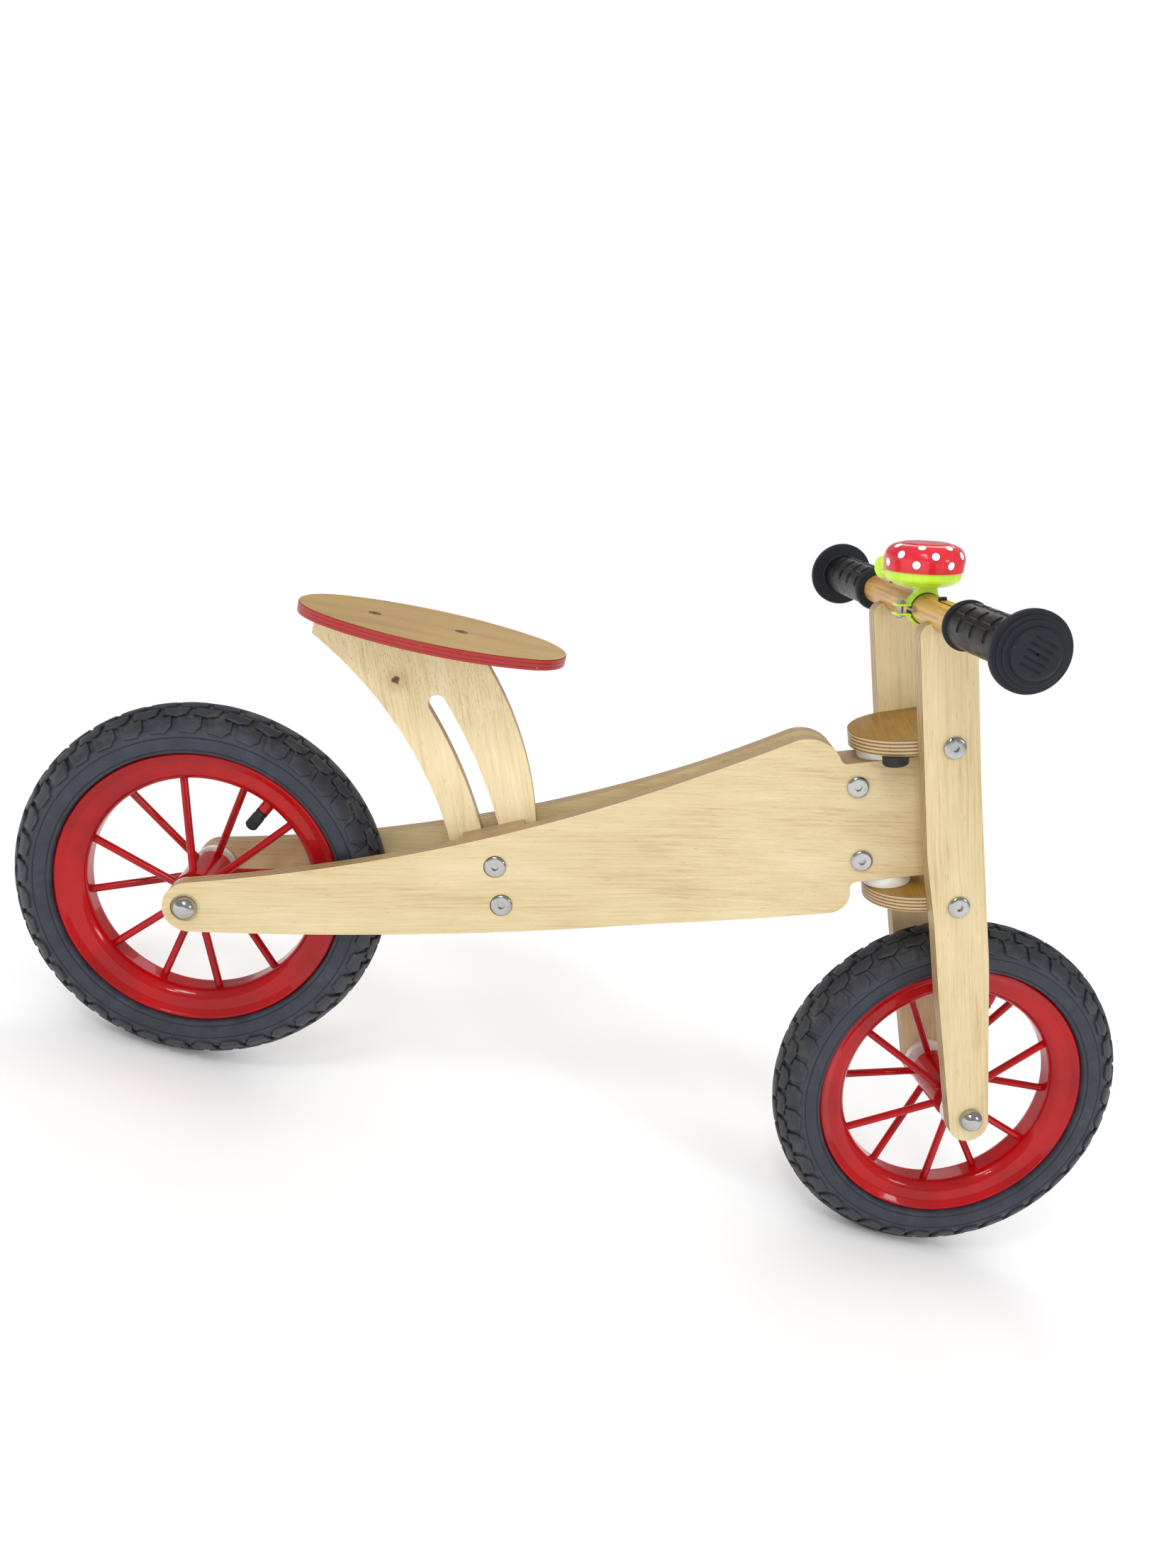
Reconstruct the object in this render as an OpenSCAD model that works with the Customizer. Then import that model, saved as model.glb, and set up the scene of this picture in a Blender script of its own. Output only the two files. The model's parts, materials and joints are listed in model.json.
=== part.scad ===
// Balance bike: plywood frame and fork, two spoked 12 1/2 inch wheels, wooden handlebar and a bell.
// Origin on the ground midway between the axles, +X forwards, +Y to the rider's left, +Z up.

/* [Stance] */
// Distance between the wheel axles
wheelbase = 620; // [615:1:625]
// Angle of the steering axis above the ground
head_angle = 66.6; // [66:0.1:67]
// How far the steering axis passes behind the front axle
axis_offset = 41; // [40:0.5:42]
// How far the fork is turned to the left at rest
steer_rest = 5.5; // [0:0.5:15]

/* [Wheels] */
// Outer diameter of the tyres
tyre_d = 287; // [285:1:289]
// Width of the tyres
tyre_w = 47.4; // [46:0.2:47.4]
// Outer diameter of the rim's rolled edge
rim_d = 219; // [218:0.5:219]
// Width over the rim's rolled edges
rim_w = 36; // [35:0.5:36]
// Diameter of the wheel hub
hub_d = 34.6; // [33:0.2:36]
// Length of the wheel hub
hub_len = 48; // [47:0.5:48]
// Number of spokes in each wheel
spokes = 12; // [8:2:12]
// Diameter of a spoke rod
spoke_d = 6; // [5:0.5:6]
// Diameter of the axle rods
axle_d = 8; // [8:0.5:8]

/* [Plywood] */
// Thickness of every plywood plate
ply = 12; // [11.8:0.1:12]
// Half the width of the frame over the rear axle
rear_half = 50; // [49:0.5:51]
// Half the width of the fork over its blades
fork_half = 55; // [55:0.5:56]

/* [Handlebar] */
// Diameter of the wooden handlebar
bar_d = 22; // [21:0.5:22]
// Half the length over the grips
grip_end = 195; // [185:1:195]
// Diameter of the grip's outer flange
grip_flange_d = 51.5; // [48:0.5:54]

/* [Seat] */
// Length of the oval seat board
seat_len = 198; // [190:1:200]
// Thickness of the seat board
seat_t = 8.5; // [8:0.5:10]
// Nose-up tilt of the seat board
seat_tilt = 4.5; // [3:0.5:6]

/* [Hidden] */
$fn = 96;

birch = "burlywood";
birch_top = "peru";
steel = "silver";
nylon = "whitesmoke";
rubber = [0.16, 0.16, 0.17];
red_paint = [0.75, 0.08, 0.1];
lime = [0.7, 0.9, 0.25];

big = 400;                     // reaches past any part of the bike
fine = 360;                    // facets on the circles with large radii
axle_x = wheelbase / 2;
axle_z = tyre_d / 2;
tilt = 90 - head_angle;        // lean of the steering axis from upright
ring_r = (tyre_d - tyre_w) / 2;

// Frame plates: end circles of the outline, and the two long edge arcs tangent to them
shoulder_f = -72.8;            // face of the shoulder, forwards of the front axle
rear_end = [3 - axle_x, axle_z + 1];
rear_r = 19.8;
hump_r = 27.8;
hump_h = 285.6;
corner_r = 16.3;
corner_h = 188.9;
top_arc_r = 1300;
bottom_arc_r = 2775;

// Head tongue between the crowns, heights along the steering axis
tongue_low = 196;
tongue_high = 290.6;
tongue_front = -12;
tongue_half = 18;
tongue_x = 30;                 // the plates run parallel forwards of here
bend_r = 500;
fillet_r = 5.5;
core_back = -104;
bush_r = 18;
spigot_r = 7;
spigot_len = 20;
pin_r = 4;
crown_low = 175.5;
crown_high = 298.7;
rub_gap = 0.15;                // play between faces that turn on each other

// Fork
blade_in = fork_half - ply;
dado = 2;
bolt_f = -5;                   // fork bolts, forwards of the front axle
bar_pos = [-8.9, 399.4];       // handlebar axis
bar_r = bar_d / 2;
head_r = 8.25;                 // wide flat bolt heads
head_t = 2.5;
bumper_r = 9.5;
bumper_y = 33;
bumper_len = 7.4;

// Seat slot and its two clamp bolts, which lie on one arc
slot_centre = [-437, 63];
slot_r = 379;
slot_w = 13.5;
slot_top = 45.9;
slot_bolts = [26.67, 21.85];
leg_end = 18.8;
seat_top = [-190.6, 0, 390];
barrel_r = 6.4;
frame_bolt_at = [[-63, 272], [-63, 213]];

// Wheel insides
hub_r = hub_d / 2;
axle_r = axle_d / 2;
bearing_r = 11;
bearing_w = 7;
snout_r = 5.9;
washer_r = 17.5;
washer_t = 6;
rim_r = rim_d / 2;
rim_floor = 87;
rim_t = 1.5;
rear_phase = 21;               // direction of the first spoke
front_phase = 46;
rear_valve_at = 66;
front_valve_at = 61;
boss_out = 9;                  // how far the valve's boss stands in from the rim's floor
valve_out = 10;
stem_out = 24;
cap_out = 27;
valve_r = 4.1;
stem_r = 3;

// Bell, measured from the handlebar axis
bell_y = -13;
bell_z = 17;
bell_base_h = 10;
bell_base_r = 26.5;
bell_turn = 8;                 // how far the bell leans forwards about the handlebar
bell_back = 3.5;               // how far its axis passes behind the clamp's middle
dome_r = 28.3;
dome_h = 20.2;
gear_m = 1.2;
pinion_teeth = 10;
sector_teeth = 24;
gear_c = gear_m * (pinion_teeth + sector_teeth) / 2;
lever_at = 170;                // direction of the lever's pivot from the bell's axis
pad_at = 117;                  // direction of the thumb pad
pad_out = 38.5;
works_z = 21.5;                // underside of the gears

// ---- helpers ----------------------------------------------------------------

function unit(v) = v / norm(v);
function polar(r, a) = r * [cos(a), sin(a)];
function heading(v) = atan2(v[1], v[0]);
// Points along an arc, from angle a0 to a1
function arc(c, r, a0, a1, n = 12) = [for (i = [0:n]) c + polar(r, a0 + (a1 - a0) * i / n)];
// Where circles about p and q meet, on the left of the way from p to q
function meet(p, rp, q, rq) =
    let (d = norm(q - p), u = (q - p) / d, a = (rp * rp - rq * rq + d * d) / (2 * d))
    p + u * a + [-u[1], u[0]] * sqrt(rp * rp - a * a);
// An arc of radius r in the corner at b between a and c
function corner(a, b, c, r, n = 8) =
    let (u = unit(a - b), v = unit(c - b), half = acos(u * v) / 2,
        m = b + unit(u + v) * r / sin(half),
        a0 = heading(b + u * r / tan(half) - m), a1 = heading(b + v * r / tan(half) - m),
        turn = (a1 - a0 + 540) % 360 - 180)
    arc(m, r, a0, a0 + turn, n);
// Outline through [x, y, corner radius] points
function rounded(pts) = let (n = len(pts), xy = [for (p = pts) [p[0], p[1]]])
    [for (i = [0:n - 1]) each pts[i][2] > 0
        ? corner(xy[(i + n - 1) % n], xy[i], xy[(i + 1) % n], pts[i][2]) : [xy[i]]];
// A point of the head's frame (forwards f, up h from the front axle) in X and Z
function from_head(f, h) = [axle_x + f * cos(tilt) - h * sin(tilt),
    axle_z + f * sin(tilt) + h * cos(tilt)];

// Places children in the head's frame: X square to the steering axis, Z along it
module head() { translate([axle_x, 0, axle_z]) rotate([0, -tilt, 0]) children(); }
// The same, turned with the fork
module steered() {
    head() translate([-axis_offset, 0, 0]) rotate([0, 0, steer_rest])
        translate([axis_offset, 0, 0]) children();
}
// A 2D outline in X and Z made solid between two Y values
module slab(y0, y1) { translate([0, y1, 0]) rotate([90, 0, 0]) linear_extrude(y1 - y0) children(); }
module rod(r, y0, y1) { slab(y0, y1) circle(r); }
// Mirrors children to the right-hand side
module side(left) { mirror([0, left ? 0 : 1, 0]) children(); }
module both() { for (left = [true, false]) side(left) children(); }

// ---- fasteners --------------------------------------------------------------

// Wide flat head with a hexagon socket, seat at y = 0, facing +Y
module flat_head() {
    difference() {
        rotate([-90, 0, 0]) rotate_extrude() polygon([[0, 0], [head_r, 0],
            [head_r, 1.4], [head_r - 0.9, 2.2], [head_r - 2, head_t], [0, head_t]]);
        translate([0, 0.6, 0]) rotate([-90, 0, 0]) cylinder(r = 2.9, h = 4, $fn = 6);
    }
}
// Smooth domed cap nut, seat at y = 0, facing +Y
module dome_nut() {
    nut_r = 9;
    nut_h = 8.5;
    rotate([-90, 0, 0]) difference() {
        rotate_extrude() polygon(rounded([[0, 0, 0], [nut_r, 0, 0], [nut_r, nut_h, 7], [0, nut_h, 0]]));
        translate([0, 0, -1]) cylinder(r = axle_r, h = 7.2);
    }
}

// ---- frame ------------------------------------------------------------------

function outer_y(x) = rear_half - (rear_half - tongue_half) * (x + axle_x) / (axle_x + tongue_x);
plate_turn = atan((rear_half - tongue_half) / (axle_x + tongue_x));
plate_t_y = ply / cos(plate_turn);       // plate thickness measured along Y

// Plan of one plate: straight from the rear end, a gentle bend, then parallel
module plate_plan() {
    bend_c = [tongue_x + bend_r * tan(plate_turn / 2), tongue_half + bend_r];
    polygon(concat(
        [[-axle_x - 30, outer_y(-axle_x - 30)]],
        arc(bend_c, bend_r, -90 - plate_turn, -90),
        [[axle_x, tongue_half], [axle_x, tongue_half - ply]],
        arc(bend_c, bend_r + ply, -90, -90 - plate_turn),
        [[-axle_x - 30, outer_y(-axle_x - 30) - plate_t_y]]));
}
module plate_outline() {
    hump = from_head(shoulder_f - hump_r, hump_h);
    low = from_head(shoulder_f - corner_r, corner_h);
    top_c = meet(rear_end, top_arc_r + rear_r, hump, top_arc_r + hump_r);
    bottom_c = meet(rear_end, bottom_arc_r - rear_r, low, bottom_arc_r - corner_r);
    up_rise = tongue_high + fillet_r - hump_h;
    up_run = sqrt(pow(hump_r + fillet_r, 2) - pow(up_rise, 2));
    up_turn = atan(up_rise / up_run);
    down_rise = tongue_low - fillet_r - corner_h;
    down_run = sqrt(pow(corner_r + fillet_r, 2) - pow(down_rise, 2));
    down_turn = atan(down_rise / down_run);
    polygon(concat(
        arc(rear_end, rear_r, heading(rear_end - bottom_c), heading(top_c - rear_end) - 360, 24),
        arc(top_c, top_arc_r, heading(rear_end - top_c), heading(hump - top_c), 24),
        arc(hump, hump_r, heading(top_c - hump), tilt + up_turn, 16),
        arc(from_head(shoulder_f - hump_r + up_run, tongue_high + fillet_r), fillet_r,
            tilt + 180 + up_turn, tilt + 270, 6),
        [from_head(tongue_front, tongue_high), from_head(tongue_front, tongue_low)],
        arc(from_head(shoulder_f - corner_r + down_run, tongue_low - fillet_r), fillet_r,
            tilt + 90, tilt + 180 + down_turn, 6),
        arc(low, corner_r, tilt + down_turn, heading(low - bottom_c), 12),
        arc(bottom_c, bottom_arc_r, heading(low - bottom_c), heading(rear_end - bottom_c), 24)));
}
function bolt_xz(a) = slot_centre + polar(slot_r, a);
// How far the seat of a clamp bolt's head is cut below the plate's face at its centre
seat_cut = 0.9;
function clamp_seat(a) = outer_y(bolt_xz(a)[0]) - seat_cut;

module side_plate() {
    color(birch) difference() {
        intersection() {
            translate([0, 0, -1]) linear_extrude(big + 100) plate_plan();
            slab(0, 100) plate_outline();
        }
        translate([-axle_x, 0, axle_z]) {
            rod(axle_r + 0.1, 0, 100);
            rod(10.6, rear_half - 1.1, 100);
            rod(washer_r + 0.6, 0, rear_half - ply);
        }
        for (a = slot_bolts) translate([bolt_xz(a)[0], 0, bolt_xz(a)[1]]) {
            rod(barrel_r, 0, 100);
            rod(head_r + 0.5, clamp_seat(a), 100);
        }
        head() {
            for (p = frame_bolt_at) translate([p[0], 0, p[1]]) rod(5, 0, 100);
            bush_bores();
        }
    }
}
module side_plate_right() { side(false) side_plate(); }
module side_plate_left() { side(true) side_plate(); }

// The stepped hole for the two bushes and the pin, in the head's frame
module bush_bores() {
    translate([-axis_offset, 0, 0]) {
        translate([0, 0, tongue_low - 1]) cylinder(r = pin_r + 0.4, h = tongue_high - tongue_low + 2);
        translate([0, 0, tongue_low - 1]) cylinder(r = spigot_r, h = spigot_len + 1);
        translate([0, 0, tongue_high - spigot_len]) cylinder(r = spigot_r, h = spigot_len + 1);
    }
}
module head_block() {
    color(birch) head() difference() {
        slab(-ply / 2, ply / 2) polygon(rounded([[tongue_front, tongue_low, 0],
            [tongue_front, tongue_high, 0], [core_back, tongue_high, 6],
            [core_back, tongue_low, 6]]));
        for (p = frame_bolt_at) translate([p[0], 0, p[1]]) rod(5, -20, 20);
        bush_bores();
    }
}
// One flanged bush, flange resting on z = 0 and facing +Z
module head_bush(flange_t) {
    difference() {
        union() {
            cylinder(r = bush_r, h = flange_t);
            translate([0, 0, -spigot_len]) cylinder(r = spigot_r, h = spigot_len + 1);
        }
        translate([0, 0, -spigot_len - 1]) cylinder(r = pin_r + 0.05, h = spigot_len + flange_t + 2);
    }
}
module head_bushes() {
    color(nylon) head() translate([-axis_offset, 0, 0]) {
        translate([0, 0, tongue_high]) head_bush(crown_high - rub_gap - tongue_high);
        translate([0, 0, tongue_low]) mirror([0, 0, 1])
            head_bush(tongue_low - crown_low - ply - rub_gap);
    }
}
// A headed bolt on the right and a headed sleeve nut on the left, clamping a half width
module sleeve_bolt(seat_y, shank) {
    side(false) translate([0, seat_y, 0]) flat_head();
    rod(shank, -seat_y - 0.5, seat_y - 6);
}
module sleeve_nut(seat_y, shank, barrel) {
    difference() {
        union() {
            translate([0, seat_y, 0]) flat_head();
            rod(barrel, 4 - seat_y, seat_y + 0.5);
        }
        rod(shank, -seat_y, seat_y - 5);
    }
}
module frame_bolts() {
    color(steel) head() for (p = frame_bolt_at) translate([p[0], 0, p[1]])
        sleeve_bolt(tongue_half, 3);
}
module frame_nuts() {
    color(steel) head() for (p = frame_bolt_at) translate([p[0], 0, p[1]])
        sleeve_nut(tongue_half, 3, 5);
}
module clamp_bolts() {
    color(steel) for (a = slot_bolts) translate([bolt_xz(a)[0], 0, bolt_xz(a)[1]])
        sleeve_bolt(clamp_seat(a), 4);
}
module clamp_nuts() {
    color(steel) for (a = slot_bolts) translate([bolt_xz(a)[0], 0, bolt_xz(a)[1]])
        sleeve_nut(clamp_seat(a), 4, barrel_r);
}
// Wedge between a plate and the seat post
module clamp_spacer() {
    low_back = [-128, 244];
    run = polar(48.4, 29.7);
    drop = polar(70, 29.7 - 90);
    color(birch) difference() {
        intersection() {
            slab(0, 40) polygon([low_back, low_back + run, low_back + run + drop, low_back + drop]);
            linear_extrude(big) polygon([[-axle_x, ply / 2 + rub_gap],
                [tongue_x, ply / 2 + rub_gap], [tongue_x, outer_y(tongue_x) - plate_t_y],
                [-axle_x, outer_y(-axle_x) - plate_t_y]]);
        }
        for (a = slot_bolts) translate([bolt_xz(a)[0], 0, bolt_xz(a)[1]]) rod(barrel_r, 0, 100);
    }
}
module clamp_spacer_right() { side(false) clamp_spacer(); }
module clamp_spacer_left() { side(true) clamp_spacer(); }

// ---- axles ------------------------------------------------------------------

module axle(half) { color(steel) rod(axle_r, -half, half); }
module axle_nuts(seat_y) { color(steel) both() translate([0, seat_y, 0]) dome_nut(); }
// Nylon washer with a snout that reaches the bearing
module spacers(seat_y) {
    color(nylon) both() difference() {
        union() {
            rod(washer_r, seat_y - washer_t, seat_y);
            rod(snout_r, hub_len / 2 + 0.05, seat_y - 1);
        }
        rod(axle_r, 0, 100);
    }
}
module at_rear() { translate([-axle_x, 0, axle_z]) children(); }
module rear_axle() { at_rear() axle(rear_half + 5); }
module rear_axle_nuts() { at_rear() axle_nuts(rear_half - 1.1); }
module rear_spacers() { at_rear() spacers(rear_half - ply); }
module front_axle() { steered() axle(fork_half + 6); }
module front_axle_nuts() { steered() axle_nuts(fork_half); }
module front_spacers() { steered() spacers(blade_in); }

// ---- wheels, about the Y axis -------------------------------------------------

module spin() { rotate([90, 0, 0]) rotate_extrude($fn = fine) children(); }
module along(a) { rotate([0, -a, 0]) rotate([0, 90, 0]) children(); }

function mirrored(pts) = [for (i = [len(pts) - 1:-1:0]) [pts[i][0], -pts[i][1]]];
// Half the rim's section in radius and width: visible side, rolled edge, then the channel's side
bead_r = 1.9;
bead_c = [rim_r - bead_r, rim_w / 2 - bead_r];
rim_half = concat(
    rounded([[rim_floor, 0, 0], [rim_floor, 8.5, 7], [rim_floor + 5, 13.6, 9],
        [rim_floor + 15, 15, 6], [bead_c[0] - 1.4, bead_c[1] + 1.28, 0]]),
    arc(bead_c, bead_r, 137, -130, 20),
    rounded([[bead_c[0] - 1.6, bead_c[1] - 1.6, 0], [rim_floor + 15.5, 13.55, 4.5],
        [rim_floor + 5.7, 12.2, 7.5], [rim_floor + rim_t, 7.9, 5.5], [rim_floor + rim_t, 0, 0]]));
// Rim with the boss that the valve passes through
module rim(valve_at) {
    boss_r = 4.9;
    color(red_paint) difference() {
        union() {
            spin() polygon(concat(rim_half, mirrored(rim_half)));
            along(valve_at) translate([0, 0, rim_floor - boss_out])
                cylinder(r = boss_r, h = boss_out + 0.7);
        }
        along(valve_at) translate([0, 0, rim_floor - boss_out - 1])
            cylinder(r = valve_r + 0.1, h = boss_out + 5);
    }
}
module spoke_rods(phase) {
    hub_y = hub_len / 2 - spoke_d / 2 - 2;
    rim_y = 3.5;
    reach = rim_floor + 0.8 - hub_r + 2;
    lean = atan((hub_y - rim_y) / reach);
    color(red_paint) for (i = [0:spokes - 1])
        along(phase + i * 360 / spokes) mirror([0, i % 2, 0])
            translate([0, hub_y, hub_r - 2]) rotate([lean, 0, 0])
                cylinder(r = spoke_d / 2, h = reach / cos(lean), $fn = 32);
}
module hub() {
    color(red_paint) difference() {
        rod(hub_r, -hub_len / 2, hub_len / 2);
        rod(8, -hub_len, hub_len);
        both() rod(bearing_r, hub_len / 2 - bearing_w, hub_len);
    }
}
module bearings() {
    color(steel) both() translate([0, hub_len / 2 - bearing_w / 2, 0]) spin() difference() {
        translate([axle_r + 0.05, -bearing_w / 2]) square([bearing_r - axle_r - 0.05, bearing_w]);
        for (m = [0, 1]) mirror([0, m]) translate([6.2, bearing_w / 2 - 0.5]) square([3, 2]);
    }
}
module rim_tape(valve_at) {
    color(rubber) difference() {
        spin() translate([rim_floor + rim_t, -5.5]) square([0.8, 11]);
        along(valve_at) translate([0, 0, rim_floor - 2]) cylinder(r = valve_r + 0.1, h = 6);
    }
}
// The tube lies against the tread side of the tyre's hollow
tube_r = 15.8;
tube_c = ring_r + 3.5;
module inner_tube() {
    color(rubber) spin() translate([tube_c, 0]) difference() {
        circle(r = tube_r);
        circle(r = tube_r - 1.2);
    }
}
// Tyre section: a round carcass with two feet that sit inside the rim's walls
module tyre() {
    carcass_t = 3.2;
    foot = [[rim_r + 0.4, 17.5], [rim_r + 0.1, 14.6], [rim_r - 1.5, 13.7],
        [rim_floor + 16.4, 12.8], [rim_floor + 15.2, 10.4], [rim_floor + 17, 9.4],
        [rim_r + 1.5, 12.5]];
    color(rubber) spin() polygon(concat(
        arc([ring_r, 0], tyre_w / 2, -114, 114, 48), foot,
        arc([ring_r, 0], tyre_w / 2 - carcass_t, 104, -104, 40), mirrored(foot)));
}
module valve(at) {
    color(rubber) along(at) union() {
        translate([0, 0, rim_floor - valve_out])
            cylinder(r = valve_r, h = tube_c - tube_r - rim_floor + valve_out);
        translate([0, 0, rim_floor - stem_out]) cylinder(r = stem_r, h = stem_out - valve_out + 1);
    }
}
module valve_cap(at) {
    color(rubber) along(at) difference() {
        translate([0, 0, rim_floor - cap_out]) cylinder(r = 4.9, h = cap_out - valve_out);
        translate([0, 0, rim_floor - stem_out]) cylinder(r = stem_r, h = stem_out);
    }
}
module rear_rim() { at_rear() rim(rear_valve_at); }
module rear_spokes() { at_rear() spoke_rods(rear_phase); }
module rear_hub() { at_rear() hub(); }
module rear_bearings() { at_rear() bearings(); }
module rear_rim_tape() { at_rear() rim_tape(rear_valve_at); }
module rear_inner_tube() { at_rear() inner_tube(); }
module rear_tyre() { at_rear() tyre(); }
module rear_valve() { at_rear() valve(rear_valve_at); }
module rear_valve_cap() { at_rear() valve_cap(rear_valve_at); }
module front_rim() { steered() rim(front_valve_at); }
module front_spokes() { steered() spoke_rods(front_phase); }
module front_hub() { steered() hub(); }
module front_bearings() { steered() bearings(); }
module front_rim_tape() { steered() rim_tape(front_valve_at); }
module front_inner_tube() { steered() inner_tube(); }
module front_tyre() { steered() tyre(); }
module front_valve() { steered() valve(front_valve_at); }
module front_valve_cap() { steered() valve_cap(front_valve_at); }

// ---- seat -------------------------------------------------------------------

seat_screw_at = [-44, 20];
module at_seat() { translate(seat_top) rotate([0, -seat_tilt, 0]) children(); }
module seat_post() {
    rear_edge = arc([-396, 87], 299, 66, 12, 20);
    front_edge = arc([-333, 179], 271, -8, 46, 20);
    color(birch) difference() {
        slab(-ply / 2, ply / 2) difference() {
            intersection() {
                polygon(concat(rear_edge, front_edge, [[-146.5, 430], [rear_edge[0][0], 430]]));
                polygon([slot_centre, slot_centre + polar(500, leg_end),
                    slot_centre + polar(500, 45), slot_centre + polar(500, 80)]);
            }
            intersection() {
                translate(slot_centre) difference() {
                    circle(r = slot_r + slot_w / 2, $fn = fine);
                    circle(r = slot_r - slot_w / 2, $fn = fine);
                }
                polygon([slot_centre, slot_centre + polar(500, leg_end - 8),
                    slot_centre + polar(500, slot_top)]);
            }
            translate(slot_centre + polar(slot_r, slot_top)) circle(d = slot_w);
        }
        at_seat() translate([-big / 2, -50, -seat_t]) cube([big, 100, 100]);
        at_seat() for (u = seat_screw_at) translate([u, 0, -seat_t - 26]) cylinder(r = 2.2, h = 40);
    }
}
// Oval of two end circles and two wide side arcs that meet them tangentially
module seat_outline() {
    end_r = 50;
    side_r = 140;
    end_x = seat_len / 2 - end_r;
    side_y = sqrt(pow(side_r - end_r, 2) - end_x * end_x);
    turn = atan(side_y / end_x);
    polygon(concat(
        arc([end_x, 0], end_r, -turn, turn, 24),
        arc([0, -side_y], side_r, turn, 180 - turn, 24),
        arc([-end_x, 0], end_r, 180 - turn, 180 + turn, 24),
        arc([0, side_y], side_r, 180 + turn, 360 - turn, 24)));
}
module seat_board() {
    color(birch_top) at_seat() difference() {
        translate([0, 0, -seat_t]) linear_extrude(seat_t) seat_outline();
        for (u = seat_screw_at) translate([u, 0, -seat_t - 1]) {
            cylinder(r = 2.2, h = seat_t + 2);
            translate([0, 0, seat_t - 2]) cylinder(r1 = 1.7, r2 = 5.2, h = 3.5);
        }
    }
}
module seat_screws() {
    color(steel) at_seat() for (u = seat_screw_at) translate([u, 0, 0]) difference() {
        union() {
            translate([0, 0, -34]) cylinder(r = 2.2, h = 33);
            translate([0, 0, -3]) cylinder(r1 = 1.7, r2 = 4.7, h = 3);
        }
        for (a = [0, 90]) rotate([0, 0, a]) translate([-2.4, -0.5, -1.2]) cube([4.8, 1, 3]);
    }
}

// ---- fork and crowns ----------------------------------------------------------

module blade_outline() {
    polygon(rounded([[-27.6, 396, 8.5], [-27.6, 222, 200], [-23.9, 170, 200], [-22.2, 110, 200],
        [-15.8, -19.5, 15], [14.5, -19.5, 15], [17.6, 130, 400], [14, 280, 400],
        [13.7, 396, 3]]));
}
module fork_blade() {
    color(birch) difference() {
        slab(blade_in, fork_half) difference() {
            blade_outline();
            translate(bar_pos) circle(r = bar_r);
        }
        rod(axle_r + 0.1, 0, 100);
        for (h = [crown_low, crown_high]) translate([bolt_f, 0, h + ply / 2]) rod(3, 0, 100);
        crown_upper_solid();
        crown_lower_solid();
        translate([bar_pos[0], blade_in + ply / 2, 340]) cylinder(r = 2.2, h = 100);
    }
}
module fork_blade_right() { steered() side(false) fork_blade(); }
module fork_blade_left() { steered() side(true) fork_blade(); }

// A crown: rounded behind the steering axis, let into both blades at its ends
module crown(h, back, back_r) {
    front_f = 9;
    round_f = back + back_r;
    translate([0, 0, h]) linear_extrude(ply) union() {
        intersection() {
            translate([round_f, 0]) circle(r = back_r, $fn = fine);
            translate([back - 1, -blade_in]) square([back_r + 1, 2 * blade_in]);
        }
        translate([round_f, -blade_in]) square([front_f - round_f, 2 * blade_in]);
        translate([round_f + 1, -blade_in - dado])
            square([front_f - round_f - 1, 2 * (blade_in + dado)]);
    }
}
module crown_upper_solid() { crown(crown_high, -64, 44); }
module crown_lower_solid() { crown(crown_low, -59, 43); }
barrel_nut_r = 5;
barrel_nut_y = 28;
module crown_holes(h) {
    both() translate([bolt_f, 0, h + ply / 2]) rod(3, barrel_nut_y - 6, 100);
    both() translate([bolt_f, barrel_nut_y, h - 1]) cylinder(r = barrel_nut_r, h = ply);
}
module pin_hole() {
    translate([-axis_offset, 0, crown_low + 2]) cylinder(r = pin_r, h = crown_high - crown_low + ply - 4);
}
module crown_upper() {
    color(birch_top) steered() difference() {
        crown_upper_solid();
        crown_holes(crown_high);
        pin_hole();
        both() translate([-axis_offset, bumper_y, crown_high - 1]) cylinder(r = 1.8, h = 10);
    }
}
module crown_lower() {
    color(birch_top) steered() difference() {
        crown_lower_solid();
        crown_holes(crown_low);
        pin_hole();
    }
}
module fork_bolts() {
    color(steel) steered() both() for (h = [crown_low, crown_high])
        translate([bolt_f, 0, h + ply / 2]) {
            translate([0, fork_half, 0]) flat_head();
            rod(3, barrel_nut_y - 5, fork_half + 0.5);
        }
}
module fork_barrel_nuts() {
    color(steel) steered() both() for (h = [crown_low, crown_high]) difference() {
        translate([bolt_f, barrel_nut_y, h + 0.5]) cylinder(r = barrel_nut_r, h = ply - 2);
        translate([bolt_f, 0, h + ply / 2]) rod(3, 0, 100);
    }
}
module steering_pin() {
    color(steel) steered() translate([-axis_offset, 0, crown_low + 2.5])
        cylinder(r = pin_r, h = crown_high - crown_low + ply - 5);
}
module stop_bumpers() {
    color(rubber) steered() both() translate([-axis_offset, bumper_y, crown_high - bumper_len])
        difference() {
            rotate_extrude() polygon([[0, 0], [bumper_r - 1, 0], [bumper_r, 1],
                [bumper_r, bumper_len], [0, bumper_len]]);
            translate([0, 0, -1]) cylinder(r = 4, h = 4);
            translate([0, 0, -1]) cylinder(r = 1.8, h = 30);
        }
}
module bumper_screws() {
    color(steel) steered() both() translate([-axis_offset, bumper_y, crown_high - bumper_len]) {
        translate([0, 0, 0.6]) difference() {
            cylinder(r = 3.9, h = 2.4);
            for (a = [0, 90]) rotate([0, 0, a]) translate([-2, -0.4, -1]) cube([4, 0.8, 2]);
        }
        translate([0, 0, 2]) cylinder(r = 1.8, h = bumper_len + 6);
    }
}

// ---- handlebar and grips --------------------------------------------------------

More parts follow.
